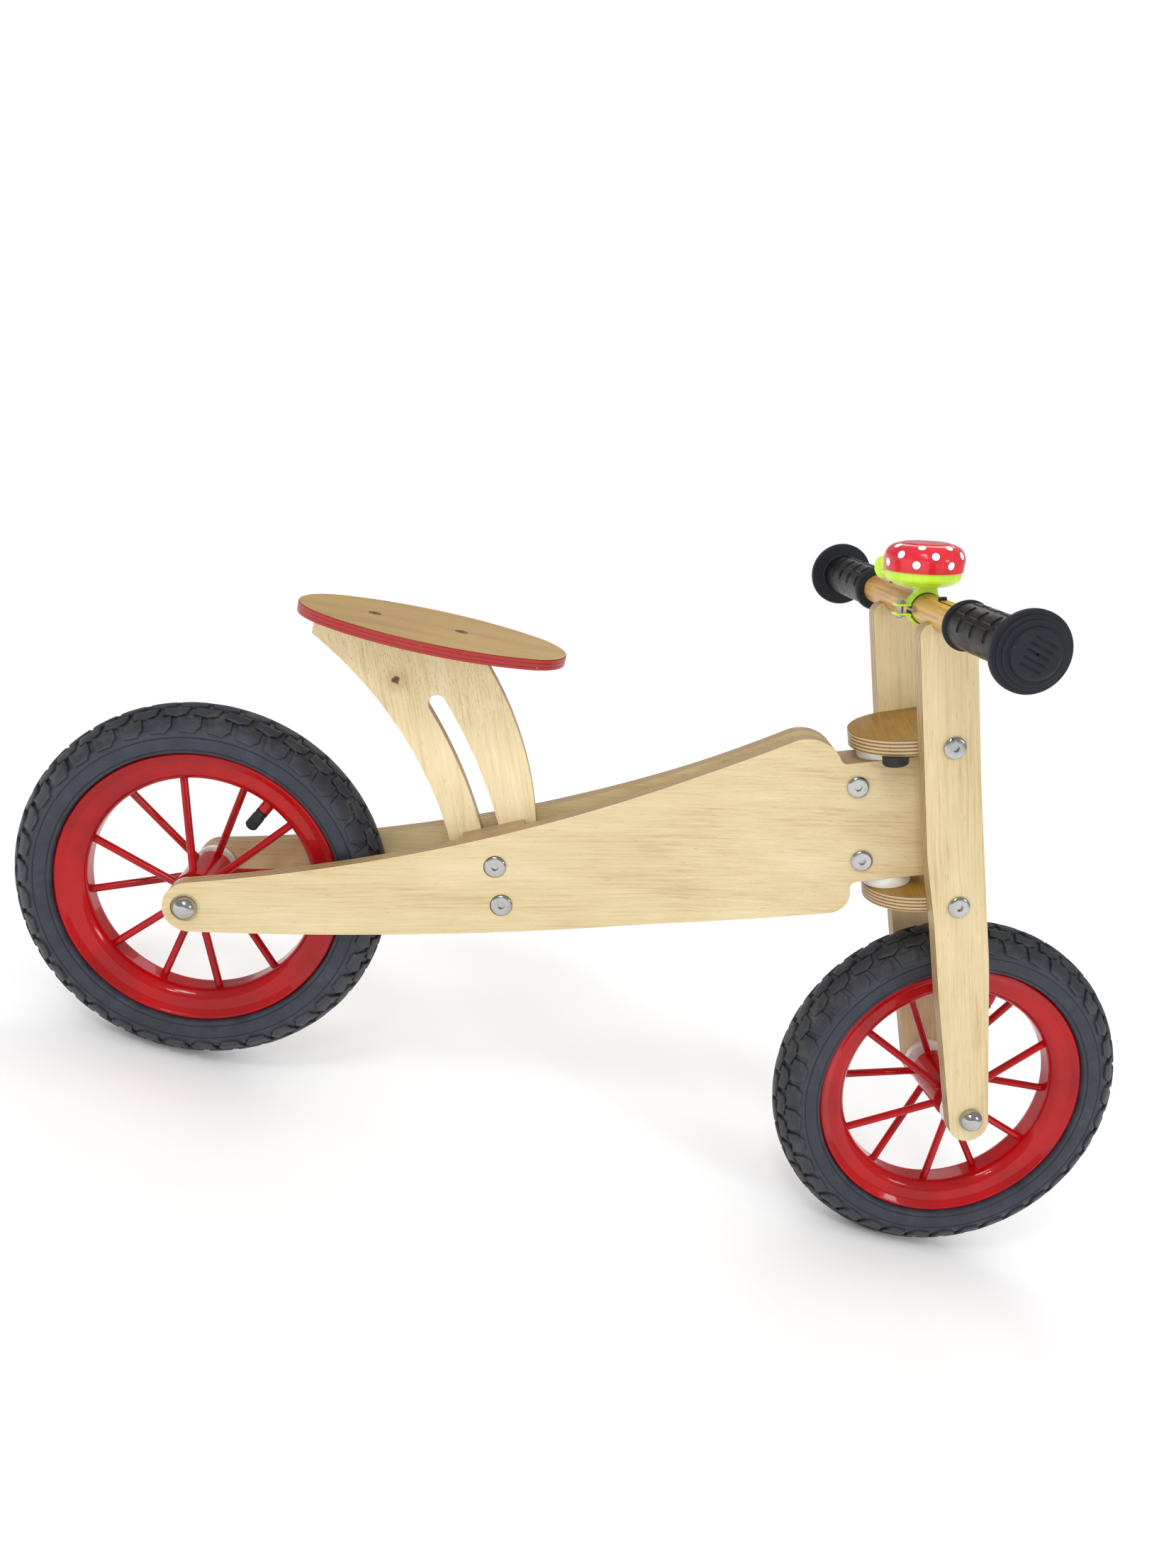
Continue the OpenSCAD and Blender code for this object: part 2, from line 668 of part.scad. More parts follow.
// Places children at the handlebar's middle, in the fork's frame
module at_bar() { steered() translate([bar_pos[0], 0, bar_pos[1]]) children(); }
grip_root = 88;
bar_half = grip_end - 5;
module handlebar() {
    color("chocolate") at_bar() difference() {
        rod(bar_r, -bar_half, bar_half);
        both() translate([0, blade_in + ply / 2, -20]) cylinder(r = 2.2, h = 40);
    }
}
module handlebar_screws() {
    color("dimgray") at_bar() both() translate([0, blade_in + ply / 2, 0]) {
        translate([0, 0, -50]) cylinder(r = 2.2, h = 50 + bar_r);
        translate([0, 0, bar_r - 0.4]) difference() {
            cylinder(r = 3, h = 2.2);
            translate([0, 0, 1]) cylinder(r = 1.5, h = 3, $fn = 6);
        }
    }
}
// Grip section from the inner collar to the wide flange, its two steps and the domed end
module grip() {
    flange_r = grip_flange_d / 2;
    flange_at = grip_end - 13;
    step_r = [flange_r - 3, flange_r - 5.7];
    step_at = [flange_at + 4.5, flange_at + 6.7, flange_at + 8.9];
    color(rubber) rotate([-90, 0, 0]) rotate_extrude() polygon(rounded([
        [bar_r, grip_root, 0], [bar_r + 5.5, grip_root, 1], [bar_r + 6.5, grip_root + 4, 2],
        [bar_r + 4.5, grip_root + 6, 2], [bar_r + 4.5, flange_at, 3], [flange_r, flange_at, 1],
        [flange_r, step_at[0], 0.8], [step_r[0], step_at[0], 0], [step_r[0], step_at[1], 0.7],
        [step_r[1], step_at[1], 0], [step_r[1], step_at[2], 0.7], [bar_r + 5.5, step_at[2], 0],
        [bar_r + 4.7, grip_end, 3.8], [0, grip_end, 0], [0, bar_half, 0], [bar_r, bar_half, 0]]));
}
module grip_right() { at_bar() side(false) grip(); }
module grip_left() { at_bar() side(true) grip(); }

// ---- bell, leaning forwards on the handlebar ---------------------------------------

liner_t = 0.6;
strap_t = 1.4;
strap_w = 9;
clamp_r = bar_r + liner_t + strap_t;
tab_at = -17.4;
module at_clamp() { at_bar() translate([0, bell_y, 0]) rotate([0, bell_turn, 0]) children(); }
module at_bell() { at_clamp() translate([-bell_back, 0, 0]) children(); }
module bell_liner() {
    color(rubber) at_clamp() difference() {
        rod(bar_r + liner_t, -strap_w / 2, strap_w / 2);
        rod(bar_r, -20, 20);
        translate([-20, -20, -1.8]) cube([20, 40, 2]);
    }
}
// Strap round the bar, split behind it between two tabs, with a saddle under the bell
module bell_clamp() {
    tab_end = tab_at - 4.5;
    color(lime) at_clamp() difference() {
        union() {
            rod(clamp_r, -strap_w / 2, strap_w / 2);
            slab(-strap_w / 2, strap_w / 2) polygon([[-9.5, 5], [-6, bell_z], [6, bell_z], [9.5, 5]]);
            for (z = [1.6, -5]) translate([tab_end, -strap_w / 2, z]) cube([14, strap_w, 1.4]);
        }
        rod(bar_r + liner_t, -20, 20);
        translate([-30, -20, -3.6]) cube([24, 40, 5.2]);
        translate([tab_at, 0, -10]) cylinder(r = 2, h = 20);
    }
}
module bell_clamp_screw() {
    color(steel) at_clamp() translate([tab_at, 0, 0]) {
        translate([0, 0, -5]) cylinder(r = 2, h = 11);
        translate([0, 0, -5]) mirror([0, 0, 1]) intersection() {
            sphere(r = 3.6);
            cylinder(r = 4, h = 2.2);
        }
        translate([0, 0, 3]) cylinder(r = 3.4, h = 2.4, $fn = 6);
    }
}
// Gap in the base's wall that the lever's arm swings through
module window(z0, z1) {
    wide = 60;
    translate([0, 0, z0]) linear_extrude(z1 - z0)
        polygon([[0, 0], polar(wide, pad_at + 7), polar(wide, pad_at + 49)]);
}
module bell_base() {
    color(lime) at_bell() difference() {
        translate([0, 0, bell_z]) rotate_extrude() polygon(rounded([[0, 0, 0], [20, 0, 3],
            [bell_base_r, 4, 4], [bell_base_r, bell_base_h, 0],
            [bell_base_r - 1.6, bell_base_h, 0], [bell_base_r - 1.6, 4.6, 3], [19.4, 2, 3],
            [0, 2, 0]]));
        window(works_z - 1, bell_z + bell_base_h + 1);
    }
}
module bell_posts() {
    color(steel) at_bell() {
        translate([0, 0, bell_z + 2]) cylinder(r = 2.5, h = bell_base_h + dome_h - dome_t - 2);
        translate(concat(polar(gear_c, lever_at), [bell_z + 2])) cylinder(r = 2, h = 8.4);
    }
}
dome_t = 1.2;
// Bell gong: a quarter-round shoulder rising to a small step and a nearly flat top
module dome_outline(inset) {
    shoulder_r = 10.6;
    shoulder_h = 8.2;
    step_r = 16.9;
    polygon(concat([[0, 0], [dome_r - 0.7 - inset, 0]],
        arc([dome_r - shoulder_r, shoulder_h], shoulder_r - inset, 0, 90, 16),
        [[step_r - inset, shoulder_h + shoulder_r - inset],
            [step_r - 0.6 - inset, dome_h - 0.6 - inset], [0, dome_h - inset]]));
}
module bell_dome() {
    color("firebrick") at_bell() translate([0, 0, bell_z + bell_base_h]) difference() {
        rotate_extrude() dome_outline(0);
        translate([0, 0, -0.01]) rotate_extrude() dome_outline(dome_t);
    }
}
module bell_spring() {
    wire = 0.4;
    color(steel) at_bell() translate(concat(polar(gear_c, lever_at), [works_z + 2.2])) {
        rotate_extrude() for (i = [0:3]) translate([2.6, (1.9 * i + 1) * wire]) circle(r = wire, $fn = 16);
    }
}

// Involute gear: flank points from the base circle to the tip
function involute(rb, t) = rb * [cos(t) + t * PI / 180 * sin(t), sin(t) - t * PI / 180 * cos(t)];
function roll_at(rb, r) = r <= rb ? 0 : sqrt(pow(r / rb, 2) - 1) * 180 / PI;
function turned(p, a) = [p[0] * cos(a) - p[1] * sin(a), p[0] * sin(a) + p[1] * cos(a)];
// One tooth centred on +X, thinned a little for play
module tooth(teeth) {
    pressure = 20;
    thin = 3;
    rp = gear_m * teeth / 2;
    rb = rp * cos(pressure);
    top_roll = roll_at(rb, rp + 0.9 * gear_m);
    pitch_roll = roll_at(rb, rp);
    half = 90 / teeth - thin / teeth * 4 + heading(involute(rb, pitch_roll));
    root = [rp - 1.3 * gear_m, 0];
    flank = [for (i = [0:4]) turned(involute(rb, top_roll * i / 4), -half)];
    polygon(concat([turned(root, -half)], flank,
        [for (i = [4:-1:0]) [flank[i][0], -flank[i][1]]], [turned(root, half)]));
}
module gear(teeth, first, last) {
    circle(r = gear_m * (teeth / 2 - 1.2));
    for (i = [first:last]) rotate(i * 360 / teeth) tooth(teeth);
}
arm_z = works_z + 6.5;
pin_out = 19.2;
module bell_rotor() {
    // A gap of the pinion faces the lever's sector
    color(steel) at_bell() difference() {
        union() {
            translate([0, 0, works_z]) linear_extrude(2.6)
                rotate(lever_at + 180 / pinion_teeth) gear(pinion_teeth, 0, pinion_teeth - 1);
            translate([0, 0, works_z + 2.5]) cylinder(r = 4.5, h = 4.1);
            translate([0, 0, arm_z]) linear_extrude(1.2) for (a = [0, 180]) rotate(a)
                polygon(rounded([[-6, -3, 0], [pin_out + 3, -3, 2.9], [pin_out + 3, 3, 2.9],
                    [-6, 3, 0]]));
            for (a = [0, 180]) rotate([0, 0, a]) translate([pin_out, 0, arm_z + 1]) cylinder(r = 1.2, h = 4);
        }
        translate([0, 0, 1]) cylinder(r = 2.55, h = 60);
    }
}
module bell_strikers() {
    color(steel) at_bell() for (a = [0, 180]) rotate([0, 0, a])
        translate([pin_out, 0, arm_z + 1.4]) difference() {
            cylinder(r = 4.5, h = 2.4);
            translate([0, 0, -1]) cylinder(r = 2, h = 5);
        }
}
module bell_lever() {
    pivot = polar(gear_c, lever_at);
    pad = polar(pad_out, pad_at);
    arm = pad - pivot;
    color(lime) at_bell() difference() {
        union() {
            translate([pivot[0], pivot[1], works_z]) linear_extrude(2) {
                rotate(lever_at + 180) intersection() {
                    gear(sector_teeth, -4, 4);
                    polygon([[-3, 0], [30, -22], [30, 22]]);
                }
                circle(r = 3.5);
                rotate(heading(arm)) translate([0, -2.5]) square([norm(arm) - 2, 5]);
            }
            translate([pad[0], pad[1], bell_z + 8]) rotate([0, 0, pad_at]) rod(8, -1, 1);
        }
        translate([pivot[0], pivot[1], 0]) cylinder(r = 2.05, h = 60);
    }
}

side_plate_right();
side_plate_left();
head_block();
head_bushes();
frame_bolts();
frame_nuts();
clamp_bolts();
clamp_nuts();
clamp_spacer_right();
clamp_spacer_left();
rear_axle();
rear_axle_nuts();
rear_spacers();
seat_post();
seat_board();
seat_screws();
rear_rim();
rear_spokes();
rear_hub();
rear_bearings();
rear_rim_tape();
rear_inner_tube();
rear_tyre();
rear_valve();
rear_valve_cap();
crown_upper();
crown_lower();
fork_blade_right();
fork_blade_left();
fork_bolts();
fork_barrel_nuts();
steering_pin();
stop_bumpers();
bumper_screws();
handlebar();
handlebar_screws();
grip_right();
grip_left();
front_axle();
front_axle_nuts();
front_spacers();
front_rim();
front_spokes();
front_hub();
front_bearings();
front_rim_tape();
front_inner_tube();
front_tyre();
front_valve();
front_valve_cap();
bell_clamp();
bell_liner();
bell_clamp_screw();
bell_base();
bell_posts();
bell_spring();
bell_dome();
bell_lever();
bell_rotor();
bell_strikers();
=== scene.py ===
"""Looks for the plywood balance bike: materials, tyres, grips, valve caps, light and camera."""

import json
import math

import bmesh
import bpy
import numpy as np
from mathutils import Matrix, Vector


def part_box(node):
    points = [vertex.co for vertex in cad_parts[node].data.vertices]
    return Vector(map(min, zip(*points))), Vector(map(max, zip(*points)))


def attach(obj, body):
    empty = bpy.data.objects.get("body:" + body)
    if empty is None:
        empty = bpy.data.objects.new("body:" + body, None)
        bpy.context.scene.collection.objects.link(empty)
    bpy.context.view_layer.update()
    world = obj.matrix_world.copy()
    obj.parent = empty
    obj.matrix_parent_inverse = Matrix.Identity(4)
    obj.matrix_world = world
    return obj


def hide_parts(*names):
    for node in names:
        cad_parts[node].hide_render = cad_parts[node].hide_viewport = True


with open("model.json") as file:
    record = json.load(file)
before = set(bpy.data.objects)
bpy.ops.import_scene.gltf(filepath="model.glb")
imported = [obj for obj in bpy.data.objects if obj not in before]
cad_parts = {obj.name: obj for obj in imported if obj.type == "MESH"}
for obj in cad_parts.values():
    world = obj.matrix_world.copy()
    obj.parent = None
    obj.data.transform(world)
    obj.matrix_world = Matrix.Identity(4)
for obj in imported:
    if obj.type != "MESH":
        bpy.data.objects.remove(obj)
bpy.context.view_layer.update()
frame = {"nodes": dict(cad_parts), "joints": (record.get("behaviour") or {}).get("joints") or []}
NODES = frame["nodes"]
JOINTS = {joint["name"]: joint for joint in frame["joints"]}

# ---- sizes, in millimetres and degrees unless said otherwise ----------------------------

MM = 0.001                              # a millimetre in Blender's metres

BAR_BACK, BAR_UP = 8.9, 399.4           # handlebar's middle, from the front axle along the fork
BELL_ASIDE, BELL_BACK, BELL_LEAN = 13.0, 3.5, 8.0    # bell, from the handlebar's middle
BLADE_MIDDLE = 49.0                     # middle of a fork blade, out from the centre plane
CROWNS = (("upper", 304.7), ("lower", 181.5))        # middle of each crown over the front axle
POST_LEAN = (-0.42, 0, 0.91)            # direction up the seat post
SEAT_PITCH = -4.5                       # nose of the seat against level
SIDES = ((-1, "right"), (1, "left"))    # sign of Y and name

PLY = 12.0                              # thickness of the plywood
SHEET = PLY / 9                         # thickness of one layer of veneer
SEAT_SHEET = 2.8                        # layers that show in the seat's painted edge

# The frame plates taper in plan from the rear axle to where they run parallel
REAR_HALF, TONGUE_HALF = 50.0, 18.0
TAPER_FROM, TAPER_TO = -310.0, 30.0
TAPER = math.atan((REAR_HALF - TONGUE_HALF) / (TAPER_TO - TAPER_FROM))   # radians
GRAIN_RISE = math.radians(15)           # radians

KNOT_X, KNOT_Z = -207.0, 344.0          # dark knot in the seat post
CRACKS_FROM, CRACKS_TO = 300.0, 350.0   # heights between which drying cracks fade in

DOTS = 7                                # white dots in each row on the bell
DOT_R, DOT_OUTLINE = 2.8, 0.45
# Each row: height over the handlebar, radius there, slope of the surface in radians, first
# dot's direction
DOT_ROWS = ((33.0, 28.1, -0.08, -121.4), (39.5, 27.4, 0.42, -95.4), (44.8, 22.2, 1.13, -117.4))

RING_R = 119.8                          # circle through the middle of the tyre's section
CARCASS = 20.9                          # section radius under the tread
SIDEWALL = 22.9                         # section radius at the sidewalls
TUBE_R = 17.6                           # section radius inside the tyre
PITCHES = 38                            # repeats of the tread round a wheel
PITCH = 2 * math.pi / PITCHES           # radians
GROOVE_SHADE_RADII = (113.2, 122.8)            # radii of dark rings painted on the sidewall: painted shade in its two moulded grooves
RIB_BAND = (123.6, 129.2)               # radii of the band of fine radial ribs
RIBS = 330
TREAD_STARTS = (129.0, 133.0)           # radii between which the sidewall turns to tread

BAR_R = 11.0
GRIP_ROOT, GRIP_END = 88.0, 195.0       # from the handlebar's middle
GRIP_R = 15.5
FLANGE_R = 25.75
DOME_R = 16.5                           # domed end of the grip
PAD_ROWS = (106.0, 126.0, 146.0, 166.0)              # raised pads, along the grip
PAD_TURNS = (20.0, 65.0, 110.0, 155.0)               # and round it
SCALLOPS = (108.0, 126.0, 144.0, 162.0)              # finger scallops, along the underside

RIM_FLOOR = 87.0                        # radius that the valves stand on
CAP_FROM, CAP_TO = 10.0, 27.0           # valve cap, inwards from the rim's floor
CAP_RIBS = 16
VALVES = (("rear", 66.0), ("front", 61.0))           # direction of each valve from its axle

TYRE_STEPS, GRIP_STEPS, CAP_STEPS = 304, 288, 96     # facets round each turned shape


# ---- places: each is a 4x4 matrix whose axes suit one part of the bike ----------------


def place(origin, x, y, z):
    """Matrix with the given axes, its origin in metres."""
    columns = Matrix((Vector(x).normalized(), Vector(y).normalized(), Vector(z).normalized()))
    return Matrix.Translation(origin) @ columns.transposed().to_4x4()


def shifted(matrix, x=0.0, y=0.0, z=0.0):
    """The same axes with the origin moved along them, in millimetres."""
    return matrix @ Matrix.Translation(Vector((x, y, z)) * MM)


def turned(matrix, axis, degrees):
    return matrix @ Matrix.Rotation(math.radians(degrees), 4, axis)


def axes(matrix):
    """The same directions with the origin at zero."""
    return matrix.to_3x3().to_4x4()


steer_axis = Vector(JOINTS["steer"]["axis"])
front_axle = Vector(JOINTS["front_spin"]["axis"])
WORLD = Matrix.Identity(4)
REAR = Matrix.Translation(JOINTS["rear_spin"]["pos_m"])
# X forwards, Y along the front axle, Z up the steering axis
FORK = place(JOINTS["front_spin"]["pos_m"], front_axle.cross(steer_axis), front_axle, steer_axis)
HEAD = place(JOINTS["steer"]["pos_m"], Vector((0, 1, 0)).cross(steer_axis), (0, 1, 0), steer_axis)
# Y along the handlebar
BAR = shifted(FORK, x=-BAR_BACK, z=BAR_UP)
# Z up the bell's middle
BELL = shifted(turned(shifted(BAR, y=-BELL_ASIDE), "Y", BELL_LEAN), x=-BELL_BACK)


# ---- shader building ------------------------------------------------------------------


def srgb(red, green, blue):
    """Linear colour of an 8-bit screen colour."""
    def linear(value):
        value /= 255
        return value / 12.92 if value <= 0.04045 else ((value + 0.055) / 1.055) ** 2.4
    return (linear(red), linear(green), linear(blue), 1.0)


class Look:
    """A material whose node tree is built by short calls. Lengths in it are in millimetres."""

    def __init__(self, name, **constants):
        self.material = bpy.data.materials.new(name)
        self.material.use_nodes = True
        self.tree = self.material.node_tree
        self.shader = self.tree.nodes["Principled BSDF"]
        for socket, value in constants.items():
            self.shader.inputs[socket.replace("_", " ")].default_value = value

    def node(self, kind, inputs=(), **settings):
        """Adds a node. Each input is a socket to link or a value, by its index or name."""
        made = self.tree.nodes.new("ShaderNode" + kind)
        for name, value in settings.items():
            setattr(made, name, value)
        pairs = inputs.items() if isinstance(inputs, dict) else enumerate(inputs)
        for key, value in pairs:
            if isinstance(value, bpy.types.NodeSocket):
                self.tree.links.new(value, made.inputs[key])
            else:
                made.inputs[key].default_value = value
        return made

    def coords(self, matrix=WORLD):
        """Object coordinates in millimetres, seen from the given place."""
        return self._seen_from(matrix, "Object", "POINT", 1 / MM)

    def normal(self, matrix):
        """The object's own surface direction, seen from the given place."""
        return self._seen_from(matrix, "Normal", "VECTOR", 1.0)

    def _seen_from(self, matrix, output, vector_type, scale):
        inverse = matrix.inverted()
        source = self.node("TexCoord").outputs[output]
        mapping = self.node("Mapping", vector_type=vector_type)
        self.tree.links.new(source, mapping.inputs["Vector"])
        mapping.inputs["Rotation"].default_value = inverse.to_euler()
        mapping.inputs["Scale"].default_value = (scale,) * 3
        if vector_type == "POINT":
            mapping.inputs["Location"].default_value = inverse.translation * scale
        return mapping.outputs[0]

    def math(self, operation, *values):
        return self.node("Math", values, operation=operation).outputs[0]

    def add(self, first, second):
        return self.math("ADD", first, second)

    def minus(self, first, second):
        return self.math("SUBTRACT", first, second)

    def times(self, first, second):
        return self.math("MULTIPLY", first, second)

    def size(self, value):
        return self.math("ABSOLUTE", value)

    def hypot(self, across, up):
        """Distance that two lengths at right angles make."""
        return self.math("SQRT", self.add(self.times(across, across), self.times(up, up)))

    def angle(self, along, across):
        """Direction of a point in a plane, from -1 to 1 for half turns."""
        return self.math("DIVIDE", self.math("ARCTAN2", across, along), math.pi)

    def split(self, vector):
        return self.node("SeparateXYZ", [vector]).outputs

    def join(self, x, y, z):
        return self.node("CombineXYZ", [x, y, z]).outputs[0]

    def _texture(self, kind, vector, scale, **inputs):
        """A solid texture. scale is one number, or one for each axis."""
        if isinstance(scale, tuple):
            vector = self.node("VectorMath", [vector, scale], operation="MULTIPLY").outputs[0]
            scale = 1.0
        return self.node(kind, {"Vector": vector, "Scale": scale, **inputs})

    def noise(self, vector, scale, detail=3.0, roughness=0.55, distortion=0.0):
        return self._texture("TexNoise", vector, scale, Detail=detail, Roughness=roughness,
                             Distortion=distortion).outputs["Fac"]

    def cells(self, vector, scale):
        return self._texture("TexVoronoi", vector, scale).outputs["Distance"]

    def step(self, value, low, high, out_low=0.0, out_high=1.0):
        """Smooth step from out_low at low to out_high at high."""
        inputs = {"Value": value, "From Min": low, "From Max": high,
                  "To Min": out_low, "To Max": out_high}
        return self.node("MapRange", inputs, interpolation_type="SMOOTHSTEP").outputs[0]

    def mix(self, factor, first, second):
        """Colour between first, at a factor of 0, and second."""
        return self.node("Mix", {0: factor, 6: first, 7: second}, data_type="RGBA").outputs[2]

    def ramp(self, value, *stops):
        made = self.node("ValToRGB", [value])
        elements = made.color_ramp.elements
        while len(elements) < len(stops):
            elements.new(0.5)
        for element, (position, colour) in zip(elements, stops):
            element.position = position
            element.color = colour
        return made.outputs[0]

    def finish(self, colour, roughness=None, bump=None, depth=0.1):
        """Links the results. depth is the bump's height in millimetres."""
        self.tree.links.new(colour, self.shader.inputs["Base Color"])
        if roughness is not None:
            self.tree.links.new(roughness, self.shader.inputs["Roughness"])
        if bump is not None:
            made = self.node("Bump", {"Height": bump, "Distance": depth * MM, "Strength": 1.0})
            self.tree.links.new(made.outputs[0], self.shader.inputs["Normal"])
        return self.material


# ---- wood -------------------------------------------------------------------------------

CREAM, TAN, STREAK = srgb(221, 204, 164), srgb(208, 187, 141), srgb(182, 154, 106)
GLUE, CROSS_PLY, LONG_PLY = srgb(84, 60, 36), srgb(126, 95, 58), srgb(206, 178, 130)
FLECK, SMUDGE = srgb(140, 106, 68), srgb(160, 126, 84)


def wood_grain(look, at):
    """Streaks along local X: a tone from 0 to 1, and fine fibres."""
    warp = look.noise(at, (0.012, 0.03, 0.03), detail=2)
    x, y, z = look.split(at)
    wavy = look.join(x, look.add(y, look.times(warp, 5.0)), z)
    broad = look.noise(wavy, (0.008, 0.04, 0.04), detail=4, roughness=0.6)
    streaks = look.noise(wavy, (0.016, 0.6, 0.3), detail=5, roughness=0.7)
    fibres = look.noise(wavy, (0.07, 2.6, 1.5), detail=3)
    return look.add(look.times(broad, 0.45), look.times(streaks, 0.55)), fibres


def birch_face(look, at, pale=CREAM, mid=TAN, dark=STREAK):
    """Lacquered birch veneer: colour and bump height."""
    tone, fibres = wood_grain(look, at)
    colour = look.ramp(tone, (0.32, dark), (0.47, mid), (0.66, pale))
    colour = look.mix(look.step(fibres, 0.56, 0.74, 0.0, 0.42), colour, dark)
    flecks = look.noise(at, (0.09, 1.2, 1.2), detail=1)
    colour = look.mix(look.step(flecks, 0.7, 0.77, 0.0, 0.4), colour, FLECK)
    return colour, look.add(fibres, look.times(tone, 0.6))


def shaded_crown_top(look, at):
    """Oiled plywood, more orange than the plates, and darker than them partly as painted shade for the
    dimmer light on the crowns' upward-facing tops.
    """
    return birch_face(look, at, srgb(168, 126, 38), srgb(144, 104, 28), srgb(118, 82, 20))


def shaded_seat_top(look, at):
    """Plywood painted darker than the plates, to a tone between the plates and the crowns: the darkness is
    painted shade, standing for the dimmer light on the seat's upward-facing top.
    """
    return birch_face(look, at, srgb(190, 156, 84), srgb(176, 140, 72), srgb(150, 112, 52))


def post_face(look, at):
    """Birch with a small dark knot and drying cracks near the top of the post."""
    colour, height = birch_face(look, at, srgb(236, 222, 184), srgb(225, 206, 160), srgb(202, 174, 122))
    x, _, z = look.split(look.coords())
    away = look.hypot(look.minus(x, KNOT_X), look.minus(z, KNOT_Z))
    ragged = look.add(away, look.times(look.noise(at, 0.3, detail=3), 6.0))
    colour = look.mix(look.step(ragged, 16.0, 6.0, 0.0, 0.4), colour, srgb(168, 128, 78))
    knot = look.step(ragged, 6.6, 5.0)
    colour = look.mix(knot, colour, srgb(92, 62, 40))
    cracks = look.noise(at, (0.05, 0.9, 0.9), detail=2, distortion=0.6)
    line = look.step(look.size(look.minus(cracks, 0.5)), 0.012, 0.003)
    line = look.times(line, look.step(z, CRACKS_FROM, CRACKS_TO, 0.0, 0.7))
    colour = look.mix(line, colour, srgb(138, 98, 58))
    return colour, look.minus(height, look.add(knot, line))


def ply_edge(look, at, depth):
    """Cut edge of plywood. depth is the distance in from one face."""
    wobble = look.noise(at, (0.03, 0.03, 0.03), detail=2)
    layer = look.math("DIVIDE", look.add(depth, look.times(wobble, 0.35)), SHEET)
    cross = look.step(look.math("PINGPONG", layer, 1.0), 0.38, 0.62)
    colour = look.mix(cross, LONG_PLY, CROSS_PLY)
    speckle = look.noise(at, (0.7, 0.7, 0.7), detail=4, roughness=0.7)
    colour = look.mix(look.step(speckle, 0.52, 0.75, 0.0, 0.5), colour, GLUE)
    lines = look.size(look.minus(look.math("FRACT", layer), 0.5))
    colour = look.mix(look.step(lines, 0.42, 0.5, 0.0, 0.55), colour, GLUE)
    return colour, look.add(speckle, look.times(lines, -0.8))


def red_edge(look, at, depth):
    """Painted edge of the seat: the layers show as fine grooves, with chips down to the wood."""
    flakes = look.noise(at, (0.22, 0.22, 0.5), detail=5, roughness=0.7)
    chipped = look.step(flakes, 0.67, 0.7)
    layer = look.math("FRACT", look.math("DIVIDE", depth, SEAT_SHEET))
    line = look.step(look.size(look.minus(layer, 0.5)), 0.16, 0.06)
    red = look.mix(line, srgb(168, 18, 16), srgb(112, 14, 14))
    colour = look.mix(chipped, red, srgb(206, 168, 124))
    return colour, look.minus(look.times(line, -1.0), chipped)


def from_middle(look, at):
    """Distance in from the lower face of a flat sheet whose middle is at local Z = 0."""
    return look.add(look.split(at)[2], PLY / 2)


def plate_depth(look, at):
    """Distance in from a frame plate's outer face, which bends where the taper ends."""
    x, y, _ = look.split(look.coords())
    outer = look.minus(REAR_HALF, look.times(look.minus(x, TAPER_FROM), math.tan(TAPER)))
    outer = look.math("MAXIMUM", outer, TONGUE_HALF)
    return look.times(look.minus(outer, look.size(y)), math.cos(TAPER))


def plate_grain(side):
    """Local axes of a frame plate: X along its grain, Z out of its outer face."""
    level = Vector((math.cos(TAPER), -side * math.sin(TAPER), 0))
    along = level * math.cos(GRAIN_RISE) + Vector((0, 0, math.sin(GRAIN_RISE)))
    outward = Vector((math.sin(TAPER), side * math.cos(TAPER), 0))
    return place((0, 0, 0), along, outward.cross(along), outward)


def plywood(name, grain, depth_of=from_middle, finish_of=birch_face, edge_of=ply_edge, sharp=(0.55, 0.8)):
    """Plywood whose local X runs along the face grain and Z through the sheet. depth_of(look, at)
    gives the distance in from a face. sharp is how level a surface is where edge turns to face."""
    look = Look(name, Coat_Weight=0.25, Coat_Roughness=0.3)
    at = look.coords(grain)
    face_colour, face_height = finish_of(look, at)
    edge_colour, edge_height = edge_of(look, at, depth_of(look, at))
    face = look.step(look.size(look.split(look.normal(grain))[2]), *sharp)
    smudge = look.noise(at, (0.02, 0.03, 0.03), detail=4, roughness=0.6)
    colour = look.mix(face, edge_colour, face_colour)
    colour = look.mix(look.step(smudge, 0.6, 0.85, 0.0, 0.2), colour, SMUDGE)
    height = look.add(look.times(face_height, face), look.times(edge_height, look.minus(1.6, face)))
    rough = look.step(smudge, 0.3, 0.7, 0.42, 0.58)
    return look.finish(colour, rough, height, depth=0.06)


def dowel():
    """The handlebar: lacquered pine, grain along the bar, with a few knots."""
    look = Look("handlebar_wood", Coat_Weight=0.35, Coat_Roughness=0.25)
    at = look.coords(place(BAR.translation, BAR.col[1].xyz, BAR.col[2].xyz, BAR.col[0].xyz))
    tone, fibres = wood_grain(look, at)
    rings = look.add(look.times(look.split(at)[1], 0.16), look.times(tone, 2.2))
    ring = look.math("PINGPONG", rings, 0.5)
    colour = look.ramp(tone, (0.36, srgb(164, 112, 44)), (0.5, srgb(196, 150, 72)),
                       (0.62, srgb(214, 176, 96)))
    colour = look.mix(look.step(ring, 0.33, 0.5, 0.0, 0.55), colour, srgb(150, 100, 50))
    knots = look.cells(at, (0.012, 0.03, 0.03))
    colour = look.mix(look.step(knots, 0.12, 0.05, 0.0, 0.8), colour, srgb(112, 66, 34))
    rough = look.step(tone, 0.3, 0.7, 0.5, 0.36)
    return look.finish(colour, rough, look.add(fibres, ring), depth=0.05)


# ---- metal, paint, plastic and rubber ---------------------------------------------------


